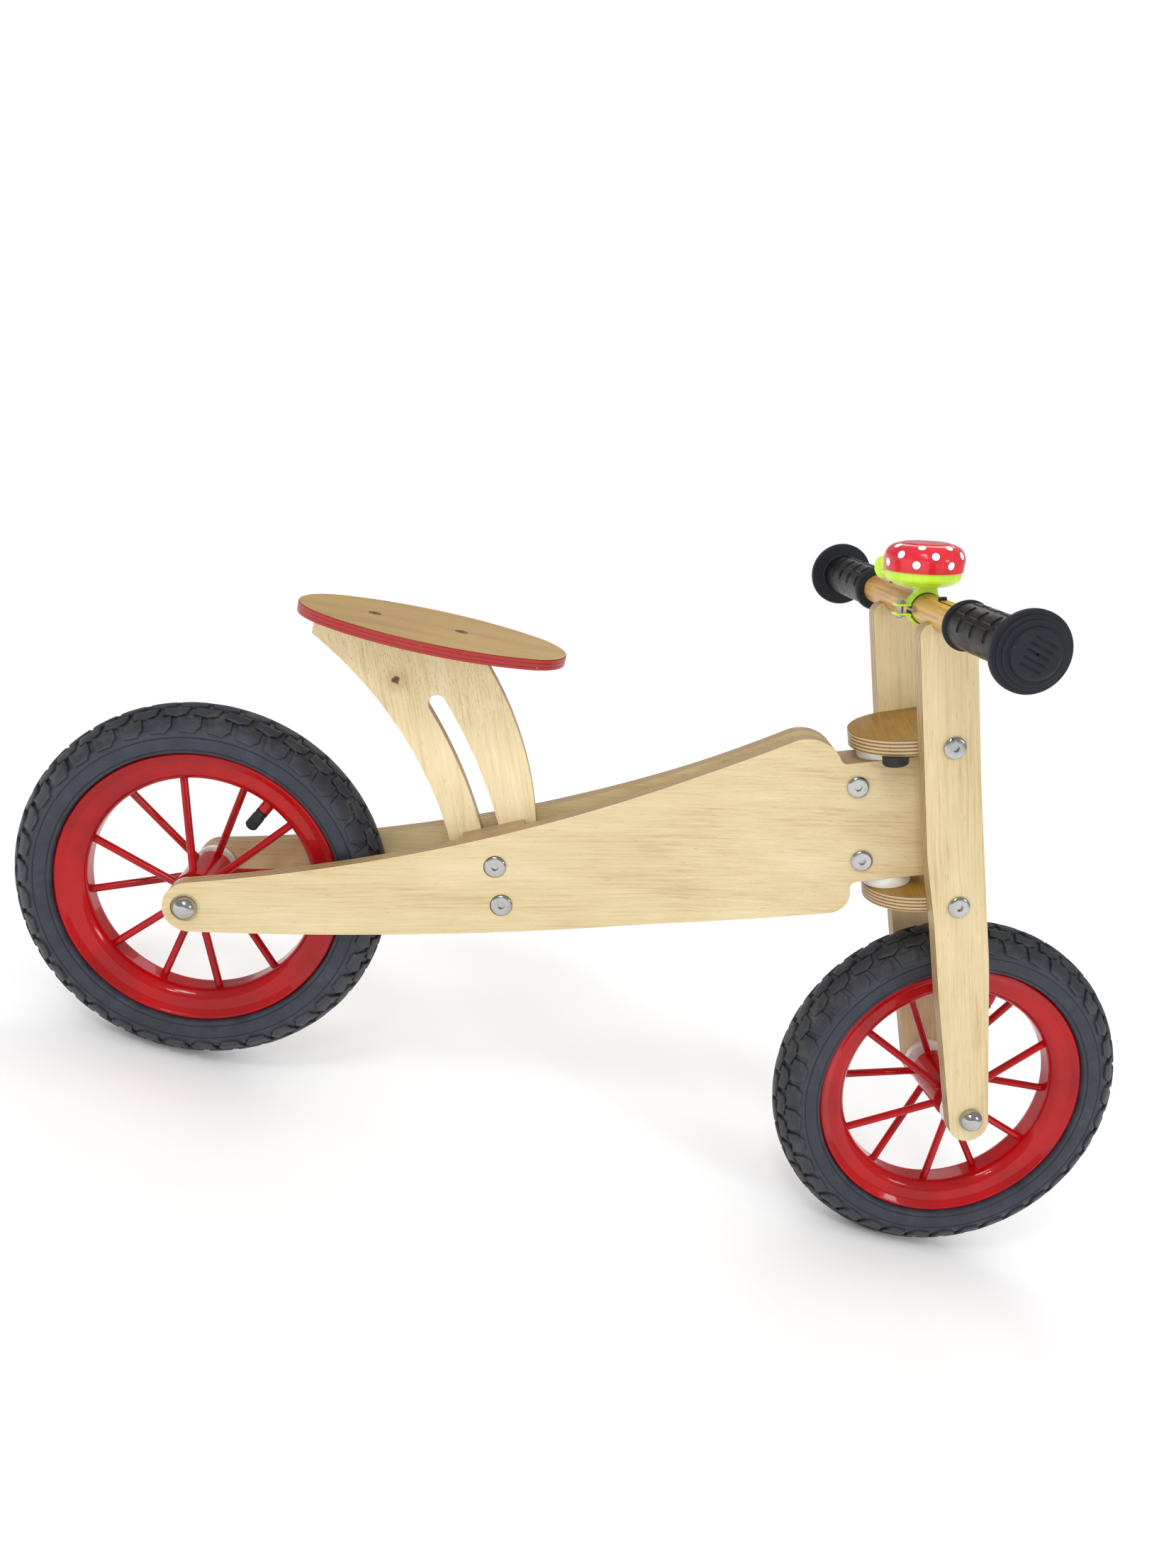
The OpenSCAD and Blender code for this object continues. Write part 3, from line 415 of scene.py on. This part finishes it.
def metal(name, tone, dull, scratches=0.25):
    """Plated steel or brass with fine scratches and smudges."""
    look = Look(name, Metallic=1.0)
    at = look.coords()
    smudge = look.noise(at, 0.12, detail=3, roughness=0.6)
    scratch = look.noise(at, (4.0, 0.3, 2.0), detail=3, roughness=0.7)
    dark = tuple(value * 0.6 for value in tone[:3]) + (1.0,)
    colour = look.mix(look.step(smudge, 0.5, 0.8, 0.0, 0.4), tone, dark)
    rough = look.add(look.step(smudge, 0.3, 0.75, dull - 0.06, dull + 0.18),
                     look.times(look.step(scratch, 0.55, 0.7), scratches))
    return look.finish(colour, rough, scratch, depth=0.02)


def paint(name, base, deep, chip):
    """Glossy enamel with darker drifts, fine orange peel and a few chips."""
    look = Look(name, Coat_Weight=0.5, Coat_Roughness=0.04, Specular_IOR_Level=0.12)
    at = look.coords()
    drift = look.noise(at, 0.02, detail=3)
    colour = look.mix(look.step(drift, 0.35, 0.7), base, deep)
    peel = look.noise(at, 0.5, detail=2)
    flakes = look.noise(at, 0.35, detail=5, roughness=0.75)
    chipped = look.step(flakes, 0.71, 0.73)
    colour = look.mix(chipped, colour, chip)
    rough = look.add(look.step(drift, 0.3, 0.7, 0.22, 0.32), look.times(chipped, 0.3))
    return look.finish(colour, rough, look.minus(look.times(peel, 0.3), chipped), depth=0.05)


def bell_paint():
    """Red enamel with rows of white dots, each with a thin dark outline."""
    look = Look("bell_red", Coat_Weight=0.3, Coat_Roughness=0.08, Specular_IOR_Level=0.3)
    at = look.coords(BELL)
    x, y, z = look.split(at)
    drift = look.noise(at, 0.06, detail=3)
    colour = look.mix(look.step(drift, 0.35, 0.7), srgb(222, 44, 58), srgb(196, 30, 44))
    turn = look.angle(x, y)
    radius = look.hypot(x, y)
    dots, outlines = [], []
    for height, at_r, slope, first in DOT_ROWS:
        share = look.add(look.times(turn, DOTS / 2), 0.5 - first * DOTS / 360)
        around = look.minus(look.math("FRACT", look.add(share, DOTS)), 0.5)
        sideways = look.times(around, 2 * math.pi * at_r / DOTS)
        up = look.add(look.times(look.minus(z, height), math.cos(slope)),
                      look.times(look.minus(at_r, radius), math.sin(slope)))
        away = look.hypot(sideways, up)
        dots.append(look.step(away, DOT_R + 0.1, DOT_R - 0.1))
        outlines.append(look.step(away, DOT_R + DOT_OUTLINE + 0.15, DOT_R + DOT_OUTLINE - 0.15))
    for mask in outlines:
        colour = look.mix(mask, colour, srgb(120, 30, 34))
    for mask in dots:
        colour = look.mix(mask, colour, srgb(250, 248, 246))
    rough = look.step(drift, 0.3, 0.7, 0.12, 0.22)
    return look.finish(colour, rough, drift, depth=0.05)


def plastic(name, base, deep, gloss=0.32):
    """Moulded plastic with faint flow marks."""
    look = Look(name, Coat_Weight=0.2, Coat_Roughness=0.15)
    at = look.coords()
    flow = look.noise(at, (0.04, 0.12, 0.04), detail=3)
    grain = look.noise(at, 1.6, detail=2)
    colour = look.mix(look.step(flow, 0.4, 0.75), base, deep)
    rough = look.step(grain, 0.3, 0.7, gloss - 0.05, gloss + 0.1)
    return look.finish(colour, rough, look.add(grain, flow), depth=0.015)


def rubber(name, base, dust, dull=0.55):
    """Moulded rubber with pale dust in it."""
    look = Look(name, Specular_IOR_Level=0.4)
    at = look.coords()
    cloud = look.noise(at, 0.05, detail=5, roughness=0.65)
    pores = look.noise(at, 2.2, detail=2)
    colour = look.mix(look.step(cloud, 0.5, 0.8, 0.0, 0.7), base, dust)
    rough = look.step(cloud, 0.3, 0.7, dull - 0.08, dull + 0.15)
    return look.finish(colour, rough, look.add(pores, cloud), depth=0.03)


def tyre_rubber(name, wheel):
    """Tyre: bluish grey, dusty between the blocks, with a band of fine radial ribs on each side."""
    look = Look(name, Specular_IOR_Level=0.4)
    at = look.coords(axes(wheel))
    x, y, z = look.split(at)
    radius = look.hypot(x, z)
    cloud = look.noise(at, 0.06, detail=5, roughness=0.7)
    pores = look.noise(at, 1.8, detail=3, roughness=0.7)
    # Recesses are where the surface lies close to the carcass under the tread
    section = look.hypot(look.minus(radius, RING_R), y)
    tread = look.step(radius, *TREAD_STARTS)
    recess = look.times(tread, look.step(section, CARCASS + 1.9, CARCASS + 0.4))
    colour = look.ramp(cloud, (0.3, srgb(38, 41, 50)), (0.55, srgb(52, 56, 68)), (0.75, srgb(66, 70, 80)))
    worn = look.mix(look.step(cloud, 0.45, 0.7), srgb(42, 43, 46), srgb(70, 69, 64))
    colour = look.mix(look.times(tread, 0.6), colour, worn)
    dust = look.times(recess, look.step(cloud, 0.42, 0.66, 0.05, 0.6))
    colour = look.mix(dust, colour, srgb(88, 85, 72))
    specks = look.noise(at, 0.5, detail=4, roughness=0.8)
    colour = look.mix(look.step(specks, 0.68, 0.74, 0.0, 0.5), colour, srgb(120, 120, 118))
    # Painted shade: near-black rings along the sidewall's moulded grooves
    for ring in GROOVE_SHADE_RADII:
        line = look.step(look.size(look.minus(radius, ring)), 0.6, 0.25, 0.0, 0.8)
        colour = look.mix(line, colour, srgb(24, 25, 30))
    low, high = RIB_BAND
    band = look.times(look.step(radius, low, low + 0.6), look.step(radius, high, high - 0.8))
    wave = look.math("SINE", look.times(look.angle(x, z), math.pi * RIBS))
    ribs = look.times(look.size(wave), band)
    colour = look.mix(look.times(ribs, 0.3), colour, srgb(96, 96, 92))
    rough = look.step(cloud, 0.3, 0.7, 0.42, 0.62)
    return look.finish(colour, rough, look.add(look.times(ribs, 2.2), look.times(pores, 0.5)), depth=0.12)


def grip_rubber():
    """Grip: black, browner and glossier on the barrel, scuffed at the end."""
    look = Look("grip_rubber", Specular_IOR_Level=0.22)
    at = look.coords(axes(BAR))
    cloud = look.noise(at, 0.07, detail=5, roughness=0.65)
    pores = look.noise(at, 1.5, detail=3)
    along = look.size(look.split(at)[1])
    barrel = look.times(look.step(along, GRIP_ROOT + 4, GRIP_ROOT + 7),
                        look.step(along, GRIP_END - 14, GRIP_END - 17))
    colour = look.mix(barrel, srgb(34, 37, 43), srgb(20, 17, 15))
    colour = look.mix(look.step(cloud, 0.55, 0.85, 0.0, 0.4), colour, srgb(60, 58, 56))
    scuff = look.step(look.noise(at, 0.6, detail=4, roughness=0.8), 0.66, 0.72, 0.0, 0.7)
    scuff = look.times(scuff, look.step(along, GRIP_END - 10, GRIP_END - 7))
    colour = look.mix(scuff, colour, srgb(150, 146, 140))
    rough = look.minus(look.step(cloud, 0.3, 0.7, 0.42, 0.58), look.times(barrel, 0.1))
    return look.finish(colour, rough, look.add(pores, cloud), depth=0.04)


# ---- mesh building ----------------------------------------------------------------------


def corner(a, b, c, radius, steps=6):
    """Points of an arc in the corner at b between a and c."""
    a, b, c = (np.array(p, float) for p in (a, b, c))
    u = (a - b) / np.linalg.norm(a - b)
    v = (c - b) / np.linalg.norm(c - b)
    half = math.acos(float(np.clip(u @ v, -1, 1))) / 2
    reach = radius / math.tan(half)
    middle = b + (u + v) / np.linalg.norm(u + v) * radius / math.sin(half)
    first, last = b + u * reach - middle, b + v * reach - middle
    a0, a1 = math.atan2(first[1], first[0]), math.atan2(last[1], last[0])
    turn = (a1 - a0 + 3 * math.pi) % (2 * math.pi) - math.pi
    angles = [a0 + turn * i / steps for i in range(steps + 1)]
    return [tuple(middle + radius * np.array([math.cos(t), math.sin(t)])) for t in angles]


def rounded(points):
    """Closed outline through (x, y, corner radius) points."""
    outline = []
    for i, (x, y, radius) in enumerate(points):
        before, after = points[i - 1][:2], points[(i + 1) % len(points)][:2]
        outline += corner(before, (x, y), after, radius) if radius else [(x, y)]
    return outline


def fine(outline, step):
    """The closed outline with points no further apart than step."""
    made = []
    for a, b in zip(outline, outline[1:] + outline[:1]):
        a, b = np.array(a, float), np.array(b, float)
        parts = max(1, math.ceil(np.linalg.norm(b - a) / step))
        made += [tuple(a + (b - a) * i / parts) for i in range(parts)]
    return made


def lathe(outline, steps, relief=None):
    """Turns a closed (radius, along) outline about local Y.
    relief(radius, along, turn) is how far the surface stands out at each point."""
    outline = np.array(outline, float)
    ahead, behind = np.roll(outline, -1, 0), np.roll(outline, 1, 0)
    tangent = ahead - behind
    tangent /= np.maximum(np.linalg.norm(tangent, axis=1, keepdims=True), 1e-9)
    area = np.sum(outline[:, 0] * ahead[:, 1] - ahead[:, 0] * outline[:, 1])
    outward = np.stack([tangent[:, 1], -tangent[:, 0]], 1) * (1 if area > 0 else -1)
    turn = np.arange(steps) * 2 * math.pi / steps
    radius, phi = np.meshgrid(outline[:, 0], turn)
    along = np.meshgrid(outline[:, 1], turn)[0]
    if relief is not None:
        height = relief(radius, along, phi)
        radius, along = radius + height * outward[:, 0], along + height * outward[:, 1]
    points = np.stack([radius * np.cos(phi), along, radius * np.sin(phi)], 2).reshape(-1, 3)
    count = len(outline)
    faces = [(i * count + j, i * count + (j + 1) % count,
              (i + 1) % steps * count + (j + 1) % count, (i + 1) % steps * count + j)
             for i in range(steps) for j in range(count)]
    return points, faces


def joined(*parts):
    """One (points, faces) pair from several."""
    points, faces, count = [], [], 0
    for some_points, some_faces in parts:
        points.append(some_points)
        faces += [tuple(i + count for i in face) for face in some_faces]
        count += len(some_points)
    return np.concatenate(points), faces


def piece(name, shape, material, body, where, node):
    """A smooth mesh object that replaces a node. The shape is in millimetres, in the axes of where.
    The object's own axes stay level with the bike's, so its coordinates are axes(where) from the
    shape's."""
    points, faces = shape
    mesh = bpy.data.meshes.new(name)
    points = np.asarray(points) @ np.array(where.to_3x3()).T * MM
    mesh.from_pydata(points.tolist(), [], faces)
    made = bpy.data.objects.new(name, mesh)
    bpy.context.scene.collection.objects.link(made)
    welded = bmesh.new()
    welded.from_mesh(mesh)
    bmesh.ops.remove_doubles(welded, verts=welded.verts, dist=0.002 * MM)
    bmesh.ops.recalc_face_normals(welded, faces=welded.faces)
    welded.to_mesh(mesh)
    welded.free()
    mesh.polygons.foreach_set("use_smooth", [True] * len(mesh.polygons))
    mesh.materials.append(material)
    made.matrix_world = Matrix.Translation(where.translation)
    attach(made, body)
    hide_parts(node)
    return made


def smooth_step(value, low, high):
    t = np.clip((value - low) / (high - low), 0, 1)
    return t * t * (3 - 2 * t)


# ---- tyres --------------------------------------------------------------------------------

# Block outlines, (around, across) in millimetres, for one pitch of the tread
CENTRE_BLOCK = [(-10.0, -2.6), (-1.0, -5.4), (8.6, -4.6), (10.2, 2.4), (1.0, 5.4), (-8.4, 4.6)]
SIDE_BLOCK = [(-8.6, 6.6), (1.2, 7.4), (10.0, 6.4), (8.4, 12.6), (1.6, 15.2), (-9.4, 13.2)]
SHOULDER_BLOCK = [(-10.0, 15.0), (-1.0, 17.0), (8.8, 14.4), (9.6, 22.4), (4.4, 26.8), (-7.6, 25.8)]


def carcass(theta):
    """Section radius at an angle from the tread's middle, in radians."""
    return CARCASS + (SIDEWALL - CARCASS) * smooth_step(abs(theta), 0.75, 1.25)


def on_tyre(around, across, height):
    """Point at lengths around the wheel and across the tread, standing above the carcass."""
    theta = across / CARCASS
    phi = around / (RING_R + CARCASS)
    section = carcass(theta) + height
    radius = RING_R + section * math.cos(theta)
    return (radius * math.cos(phi), section * math.sin(theta), radius * math.sin(phi))


def tyre_section():
    """Closed section: crown, sidewall with a moulding groove and bead lines, foot and inside."""
    half = []
    for degrees in range(0, 115, 2):
        theta = math.radians(degrees)
        section = carcass(theta)
        radius, along = RING_R + section * math.cos(theta), section * math.sin(theta)
        half.append((radius, along))
        if degrees == 82:
            half += [(radius - 0.35, along - 0.5), (radius - 0.7, along + 0.15)]
        if degrees == 106:
            half += [(radius - 0.3, along + 0.35), (radius - 0.8, along)]
    foot = [(109.9, 17.5), (109.6, 14.6), (108.0, 13.7), (103.4, 12.8), (102.2, 10.4), (104.0, 9.4),
            (111.0, 12.5)]
    inside = [(RING_R + TUBE_R * math.cos(math.radians(d)), TUBE_R * math.sin(math.radians(d)))
              for d in range(104, 0, -8)]
    side = half + foot + inside
    return side + [(radius, -along) for radius, along in reversed(side)]


def knob(outline, height, turn):
    """A tread block on the carcass: flared base, walls, bevelled and crowned top."""
    outline = fine(outline, 2.6)
    middle = np.mean(outline, axis=0)
    # Each ring: how wide it is against the outline, and how high it stands
    rings = [(1.05, -0.8), (1.02, height * 0.5), (1.0, height * 0.94), (0.96, height),
             (0.55, height * 1.02)]
    points = [on_tyre(*(middle + (np.array(p) - middle) * scale), rise)
              for scale, rise in rings for p in outline]
    points.append(on_tyre(*middle, height * 1.03))
    count = len(outline)
    faces = [(r * count + i, r * count + (i + 1) % count,
              (r + 1) * count + (i + 1) % count, (r + 1) * count + i)
             for r in range(len(rings) - 1) for i in range(count)]
    last = (len(rings) - 1) * count
    faces += [(last + i, last + (i + 1) % count, len(points) - 1) for i in range(count)]
    faces.append(tuple(range(count)))
    c, s = math.cos(turn), math.sin(turn)
    points = np.array(points)
    spun = np.stack([points[:, 0] * c - points[:, 2] * s, points[:, 1],
                     points[:, 0] * s + points[:, 2] * c], 1)
    return spun, faces


def tread():
    """Every block of a tyre. The blocks of the left side are those of the right turned about."""
    blocks = []
    for i in range(PITCHES):
        turn = i * PITCH
        blocks.append(knob(CENTRE_BLOCK, 2.7, turn))
        for sign in (1, -1):
            side, shoulder = ([(sign * around, sign * across) for around, across in outline]
                              for outline in (SIDE_BLOCK, SHOULDER_BLOCK))
            blocks.append(knob(side, 2.6, turn + PITCH / 2))
            blocks.append(knob(shoulder, 2.3, turn))
    return blocks


def tyre(name, wheel):
    shape = joined(lathe(tyre_section(), TYRE_STEPS), *tread())
    return piece(name + "_tyre_treaded", shape, tyre_rubber(name + "_tyre_rubber", wheel),
                 name + "_wheel", wheel, name + "_tyre")


# ---- grips ----------------------------------------------------------------------------------


def grip_outline():
    """Inner collar, barrel, wide flange stepped in three rings, and the domed end."""
    return fine(rounded([
        (BAR_R, GRIP_ROOT, 0), (BAR_R + 5.5, GRIP_ROOT, 1.0), (BAR_R + 6.5, GRIP_ROOT + 4, 1.5),
        (GRIP_R, GRIP_ROOT + 6, 1.0), (GRIP_R, GRIP_END - 13, 1.6),
        (FLANGE_R, GRIP_END - 13, 0.9), (FLANGE_R, GRIP_END - 8.5, 0.9),
        (FLANGE_R - 3.0, GRIP_END - 8.3, 0.4), (FLANGE_R - 3.0, GRIP_END - 6.3, 0.8),
        (FLANGE_R - 5.7, GRIP_END - 6.1, 0.4), (FLANGE_R - 5.7, GRIP_END - 4.1, 0.8),
        (DOME_R, GRIP_END - 4.0, 0.3), (DOME_R - 0.8, GRIP_END - 0.2, 3.2),
        (0, GRIP_END, 0), (0, GRIP_END - 5, 0), (BAR_R, GRIP_END - 5, 0)]), 0.6)


def grip_relief(radius, along, turn):
    """Raised pads round the barrel, finger scallops under it and grooves in the domed end."""
    outside = (radius > GRIP_R - 0.3) & (along < GRIP_END - 16)
    around = np.degrees(turn) % 360
    pads = np.zeros_like(radius)
    for middle in PAD_ROWS:
        for side in PAD_TURNS:
            off = np.minimum(abs(around - side), 360 - abs(around - side)) * GRIP_R * math.pi / 180
            inside = np.maximum(abs(along - middle) - 6.6, off - 4.2)
            pads = np.maximum(pads, 0.8 * smooth_step(-inside, -0.4, 0.3))
    scallops = np.zeros_like(radius)
    off = (around - 270) * GRIP_R * math.pi / 180
    for middle in SCALLOPS:
        reach = np.hypot((along - middle) / 7.0, off / 11.0)
        scallops = np.minimum(scallops, -1.3 * smooth_step(-reach, -1.0, -0.75))
    across = radius * np.sin(turn - 0.6)
    lengthways = radius * np.cos(turn - 0.6)
    slot = abs((across + 2.2) % 4.4 - 2.2)
    on_end = (along > GRIP_END - 2.5) & (radius < DOME_R - 1) & (abs(lengthways) < 10) & (abs(across) < 11)
    grooves = np.where(on_end, -1.1 * smooth_step(-slot, -1.0, -0.3)
                       * smooth_step(-abs(lengthways), -10.0, -6.0), 0.0)
    return np.where(outside, pads + scallops, 0.0) + grooves


def grip(node, where, material):
    """Local Y of where runs out along the handlebar."""
    shape = lathe(grip_outline(), GRIP_STEPS, grip_relief)
    return piece(node + "_moulded", shape, material, "steering", where, node)


# ---- valve caps --------------------------------------------------------------------------------


def cap_outline():
    """Skirt, neck, ribbed side and flat end, hollow where it screws on the valve."""
    return fine(rounded([
        (3.0, CAP_FROM, 0), (4.8, CAP_FROM, 0.4), (4.8, CAP_FROM + 2.6, 0.3),
        (4.2, CAP_FROM + 3, 0.3), (4.2, CAP_FROM + 3.6, 0.3), (4.5, CAP_FROM + 4, 0.4),
        (4.6, CAP_TO - 1.2, 0.8), (3.4, CAP_TO, 0.4), (0, CAP_TO, 0), (0, CAP_TO - 3, 0),
        (3.0, CAP_TO - 3, 0)]), 0.5)


def cap_ribs(radius, along, turn):
    on_side = (radius > 4.3) & (along > CAP_FROM + 4.4) & (along < CAP_TO - 1.4)
    return np.where(on_side, 0.35 * np.cos(turn * CAP_RIBS), 0.0)


def valve_cap(name, wheel, direction, material):
    """Ribbed cap on the valve, which points from the rim to the hub."""
    radial = Vector((math.cos(math.radians(direction)), 0, math.sin(math.radians(direction))))
    inward = wheel.to_3x3() @ -radial
    axle = wheel.to_3x3() @ Vector((0, 1, 0))
    where = place(wheel @ (radial * RIM_FLOOR * MM), inward.cross(axle), inward, axle)
    return piece(name + "_valve_cap_ribbed", lathe(cap_outline(), CAP_STEPS, cap_ribs), material,
                 name + "_wheel", where, name + "_valve_cap")


# ---- finish of the carried-over nodes ------------------------------------------------------------


def soften(node, width, flat_faces):
    """Small rounded edges on a CAD node, and smooth shading over its curves. flat_faces first
    joins the triangles of each flat face, so that the rounding runs on without a break."""
    thing = NODES[node]
    thing.data.polygons.foreach_set("use_smooth", [True] * len(thing.data.polygons))
    weld = thing.modifiers.new("weld", "WELD")
    weld.merge_threshold = 0.003 * MM
    if flat_faces:
        flat = thing.modifiers.new("flat", "DECIMATE")
        flat.decimate_type = "DISSOLVE"
        flat.angle_limit = math.radians(0.15)
    bevel = thing.modifiers.new("edges", "BEVEL")
    bevel.width = width * MM
    bevel.segments = 2
    bevel.limit_method = "ANGLE"
    bevel.angle_limit = math.radians(35)
    bevel.use_clamp_overlap = flat_faces
    normals = thing.modifiers.new("normals", "WEIGHTED_NORMAL")
    normals.weight = 90


def dress(material, *nodes, edges, flat_faces=False):
    """Gives nodes a material, and edges rounded by the given width."""
    for node in nodes:
        for slot in NODES[node].material_slots:
            slot.material = material
        soften(node, edges, flat_faces)


def dress_wood():
    upright = place(FORK.translation, FORK.col[2].xyz, FORK.col[0].xyz, FORK.col[1].xyz)
    for side, name in SIDES:
        dress(plywood("plate_birch_" + name, plate_grain(side), plate_depth),
              "side_plate_" + name, "clamp_spacer_" + name, edges=0.7, flat_faces=True)
        dress(plywood("blade_birch_" + name, shifted(upright, z=side * BLADE_MIDDLE)),
              "fork_blade_" + name, edges=0.9, flat_faces=True)
    head = place(HEAD.translation, HEAD.col[0].xyz, HEAD.col[2].xyz, HEAD.col[1].xyz)
    dress(plywood("core_birch", head), "head_block", edges=0.5, flat_faces=True)
    lying = place(FORK.translation, FORK.col[1].xyz, FORK.col[0].xyz, FORK.col[2].xyz)
    for name, middle in CROWNS:
        dress(plywood("crown_birch_" + name, shifted(lying, z=middle), finish_of=shaded_crown_top),
              "crown_" + name, edges=0.9, flat_faces=True)
    lean_x, _, lean_z = POST_LEAN
    leaning = place((0, 0, 0), POST_LEAN, (lean_z, 0, -lean_x), (0, 1, 0))
    dress(plywood("post_birch", leaning, finish_of=post_face), "seat_post", edges=0.6, flat_faces=True)
    low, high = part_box("seat_board")
    seat = turned(Matrix.Translation((low + high) / 2), "Y", SEAT_PITCH)
    dress(plywood("seat_birch", seat, finish_of=shaded_seat_top, edge_of=red_edge, sharp=(0.75, 0.85)),
          "seat_board", edges=1.6, flat_faces=True)
    dress(dowel(), "handlebar", edges=0.5)


def dress_metal():
    dress(metal("chrome_fastener", srgb(182, 182, 180), 0.12, 0.1),
          "frame_bolts", "frame_nuts", "clamp_bolts", "clamp_nuts", "fork_bolts",
          "rear_axle_nuts", "front_axle_nuts", edges=0.2)
    dress(metal("steel", srgb(180, 181, 184), 0.3),
          "rear_axle", "front_axle", "fork_barrel_nuts", "steering_pin", "rear_bearings",
          "front_bearings", "bumper_screws", "bell_clamp_screw", "bell_posts", "bell_spring",
          "bell_rotor", "bell_strikers", edges=0.12)
    dress(metal("brass", srgb(150, 124, 84), 0.36), "seat_screws", edges=0.12)
    dress(metal("black_steel", srgb(52, 50, 50), 0.42), "handlebar_screws", edges=0.15)


def dress_paint():
    dress(paint("rim_paint", srgb(174, 4, 12), srgb(150, 4, 10), srgb(214, 150, 146)),
          "rear_rim", "rear_spokes", "rear_hub", "front_rim", "front_spokes", "front_hub", edges=0.25)
    dress(bell_paint(), "bell_dome", edges=0.15)
    dress(plastic("bell_green", srgb(200, 238, 56), srgb(178, 222, 44)),
          "bell_clamp", "bell_base", "bell_lever", edges=0.25)
    dress(plastic("nylon", srgb(238, 236, 230), srgb(222, 219, 210), 0.4),
          "head_bushes", "rear_spacers", "front_spacers", edges=0.4)


def dress_rubber():
    dress(rubber("inner_rubber", srgb(36, 36, 38), srgb(90, 88, 84)),
          "rear_rim_tape", "front_rim_tape", "rear_inner_tube", "front_inner_tube",
          "stop_bumpers", "bell_liner", edges=0.2)
    dress(rubber("valve_rubber", srgb(40, 40, 44), srgb(96, 94, 92)), "rear_valve", "front_valve",
          edges=0.2)


def add_pieces():
    """The shapes that replace plainer nodes."""
    wheels = {"rear": REAR, "front": FORK}
    for name, wheel in wheels.items():
        tyre(name, wheel)
    black = grip_rubber()
    grip("grip_left", BAR, black)
    grip("grip_right", turned(BAR, "Z", 180), black)
    caps = rubber("cap_rubber", srgb(34, 34, 37), srgb(92, 92, 92), dull=0.4)
    for name, direction in VALVES:
        valve_cap(name, wheels[name], direction, caps)


# ---- stage, light and camera, in metres --------------------------------------------------------

FLOOR_REACH = 30.0
FLOOR_DROP = 0.0005                     # keeps the floor's face clear of the tyres
# Each light: name, position, height that it aims at over the middle, size and watts
LIGHTS = (("key", (-1.2, -2.0, 2.8), 0.25, 0.8, 22), ("fill", (2.2, -1.8, 1.5), 0.25, 0.6, 9),
          ("glint", (-0.7, -2.3, 1.9), 0.2, 0.3, 5), ("back", (0.4, 2.4, 2.2), 0.3, 1.6, 10))
ROOM, ROOM_IN_REFLECTIONS = 1.0, 0.38   # strengths of the white room round the bike
EYE, TARGET = Vector((-0.1437, -0.9066, 0.5723)), Vector((-0.0562, 0.0, 0.3041))
ROLL = math.radians(17.7)
LENS, SHIFT = 28.69, 0.0076             # lens in millimetres, shift as a share of the frame


def add_floor():
    """Pale floor, a little greyer under the bike."""
    mesh = bpy.data.meshes.new("floor")
    corners = [(x * FLOOR_REACH, y * FLOOR_REACH, 0) for x, y in ((-1, -1), (1, -1), (1, 1), (-1, 1))]
    mesh.from_pydata(corners, [], [(0, 1, 2, 3)])
    floor = bpy.data.objects.new("floor", mesh)
    bpy.context.scene.collection.objects.link(floor)
    look = Look("floor", Roughness=1.0, Specular_IOR_Level=0.0)
    x, y, _ = look.split(look.coords())
    away = look.step(look.hypot(x, y), 500.0, 1500.0)
    mesh.materials.append(look.finish(look.mix(away, (0.93, 0.93, 0.93, 1), (1, 1, 1, 1))))
    floor.location.z = -FLOOR_DROP


def add_light(name, position, aim_height, size, watts):
    light = bpy.data.lights.new(name, "AREA")
    light.shape = "DISK"
    light.size = size
    light.energy = watts
    made = bpy.data.objects.new(name, light)
    made.location = position
    aim = Vector((0, 0, aim_height)) - Vector(position)
    made.rotation_euler = aim.to_track_quat("-Z", "Y").to_euler()
    bpy.context.scene.collection.objects.link(made)


def add_world():
    """White room all round, dimmer in reflections than in the light it gives."""
    world = bpy.data.worlds.new("studio")
    bpy.context.scene.world = world
    world.use_nodes = True
    tree = world.node_tree
    mix = tree.nodes.new("ShaderNodeMixShader")
    tree.links.new(tree.nodes.new("ShaderNodeLightPath").outputs["Is Glossy Ray"], mix.inputs[0])
    rooms = (tree.nodes["Background"], tree.nodes.new("ShaderNodeBackground"))
    for number, (room, strength) in enumerate(zip(rooms, (ROOM, ROOM_IN_REFLECTIONS))):
        room.inputs["Color"].default_value = (1, 1, 1, 1)
        room.inputs["Strength"].default_value = strength
        tree.links.new(room.outputs[0], mix.inputs[number + 1])
    tree.links.new(mix.outputs[0], tree.nodes["World Output"].inputs[0])


def add_camera():
    """The photograph's view: from the right, a little above the handlebar, rolled."""
    camera = bpy.data.cameras.new("camera")
    camera.lens = LENS
    camera.shift_x = SHIFT
    camera.clip_start, camera.clip_end = 0.01, 100
    made = bpy.data.objects.new("camera", camera)
    aim = (TARGET - EYE).to_track_quat("-Z", "Y").to_matrix().to_4x4()
    made.matrix_world = Matrix.Translation(EYE) @ aim @ Matrix.Rotation(ROLL, 4, "Z")
    bpy.context.scene.collection.objects.link(made)
    bpy.context.scene.camera = made


bpy.context.scene.view_settings.view_transform = "Standard"
add_camera()
add_floor()
add_world()
for light in LIGHTS:
    add_light(*light)
dress_wood()
dress_metal()
dress_paint()
dress_rubber()
add_pieces()
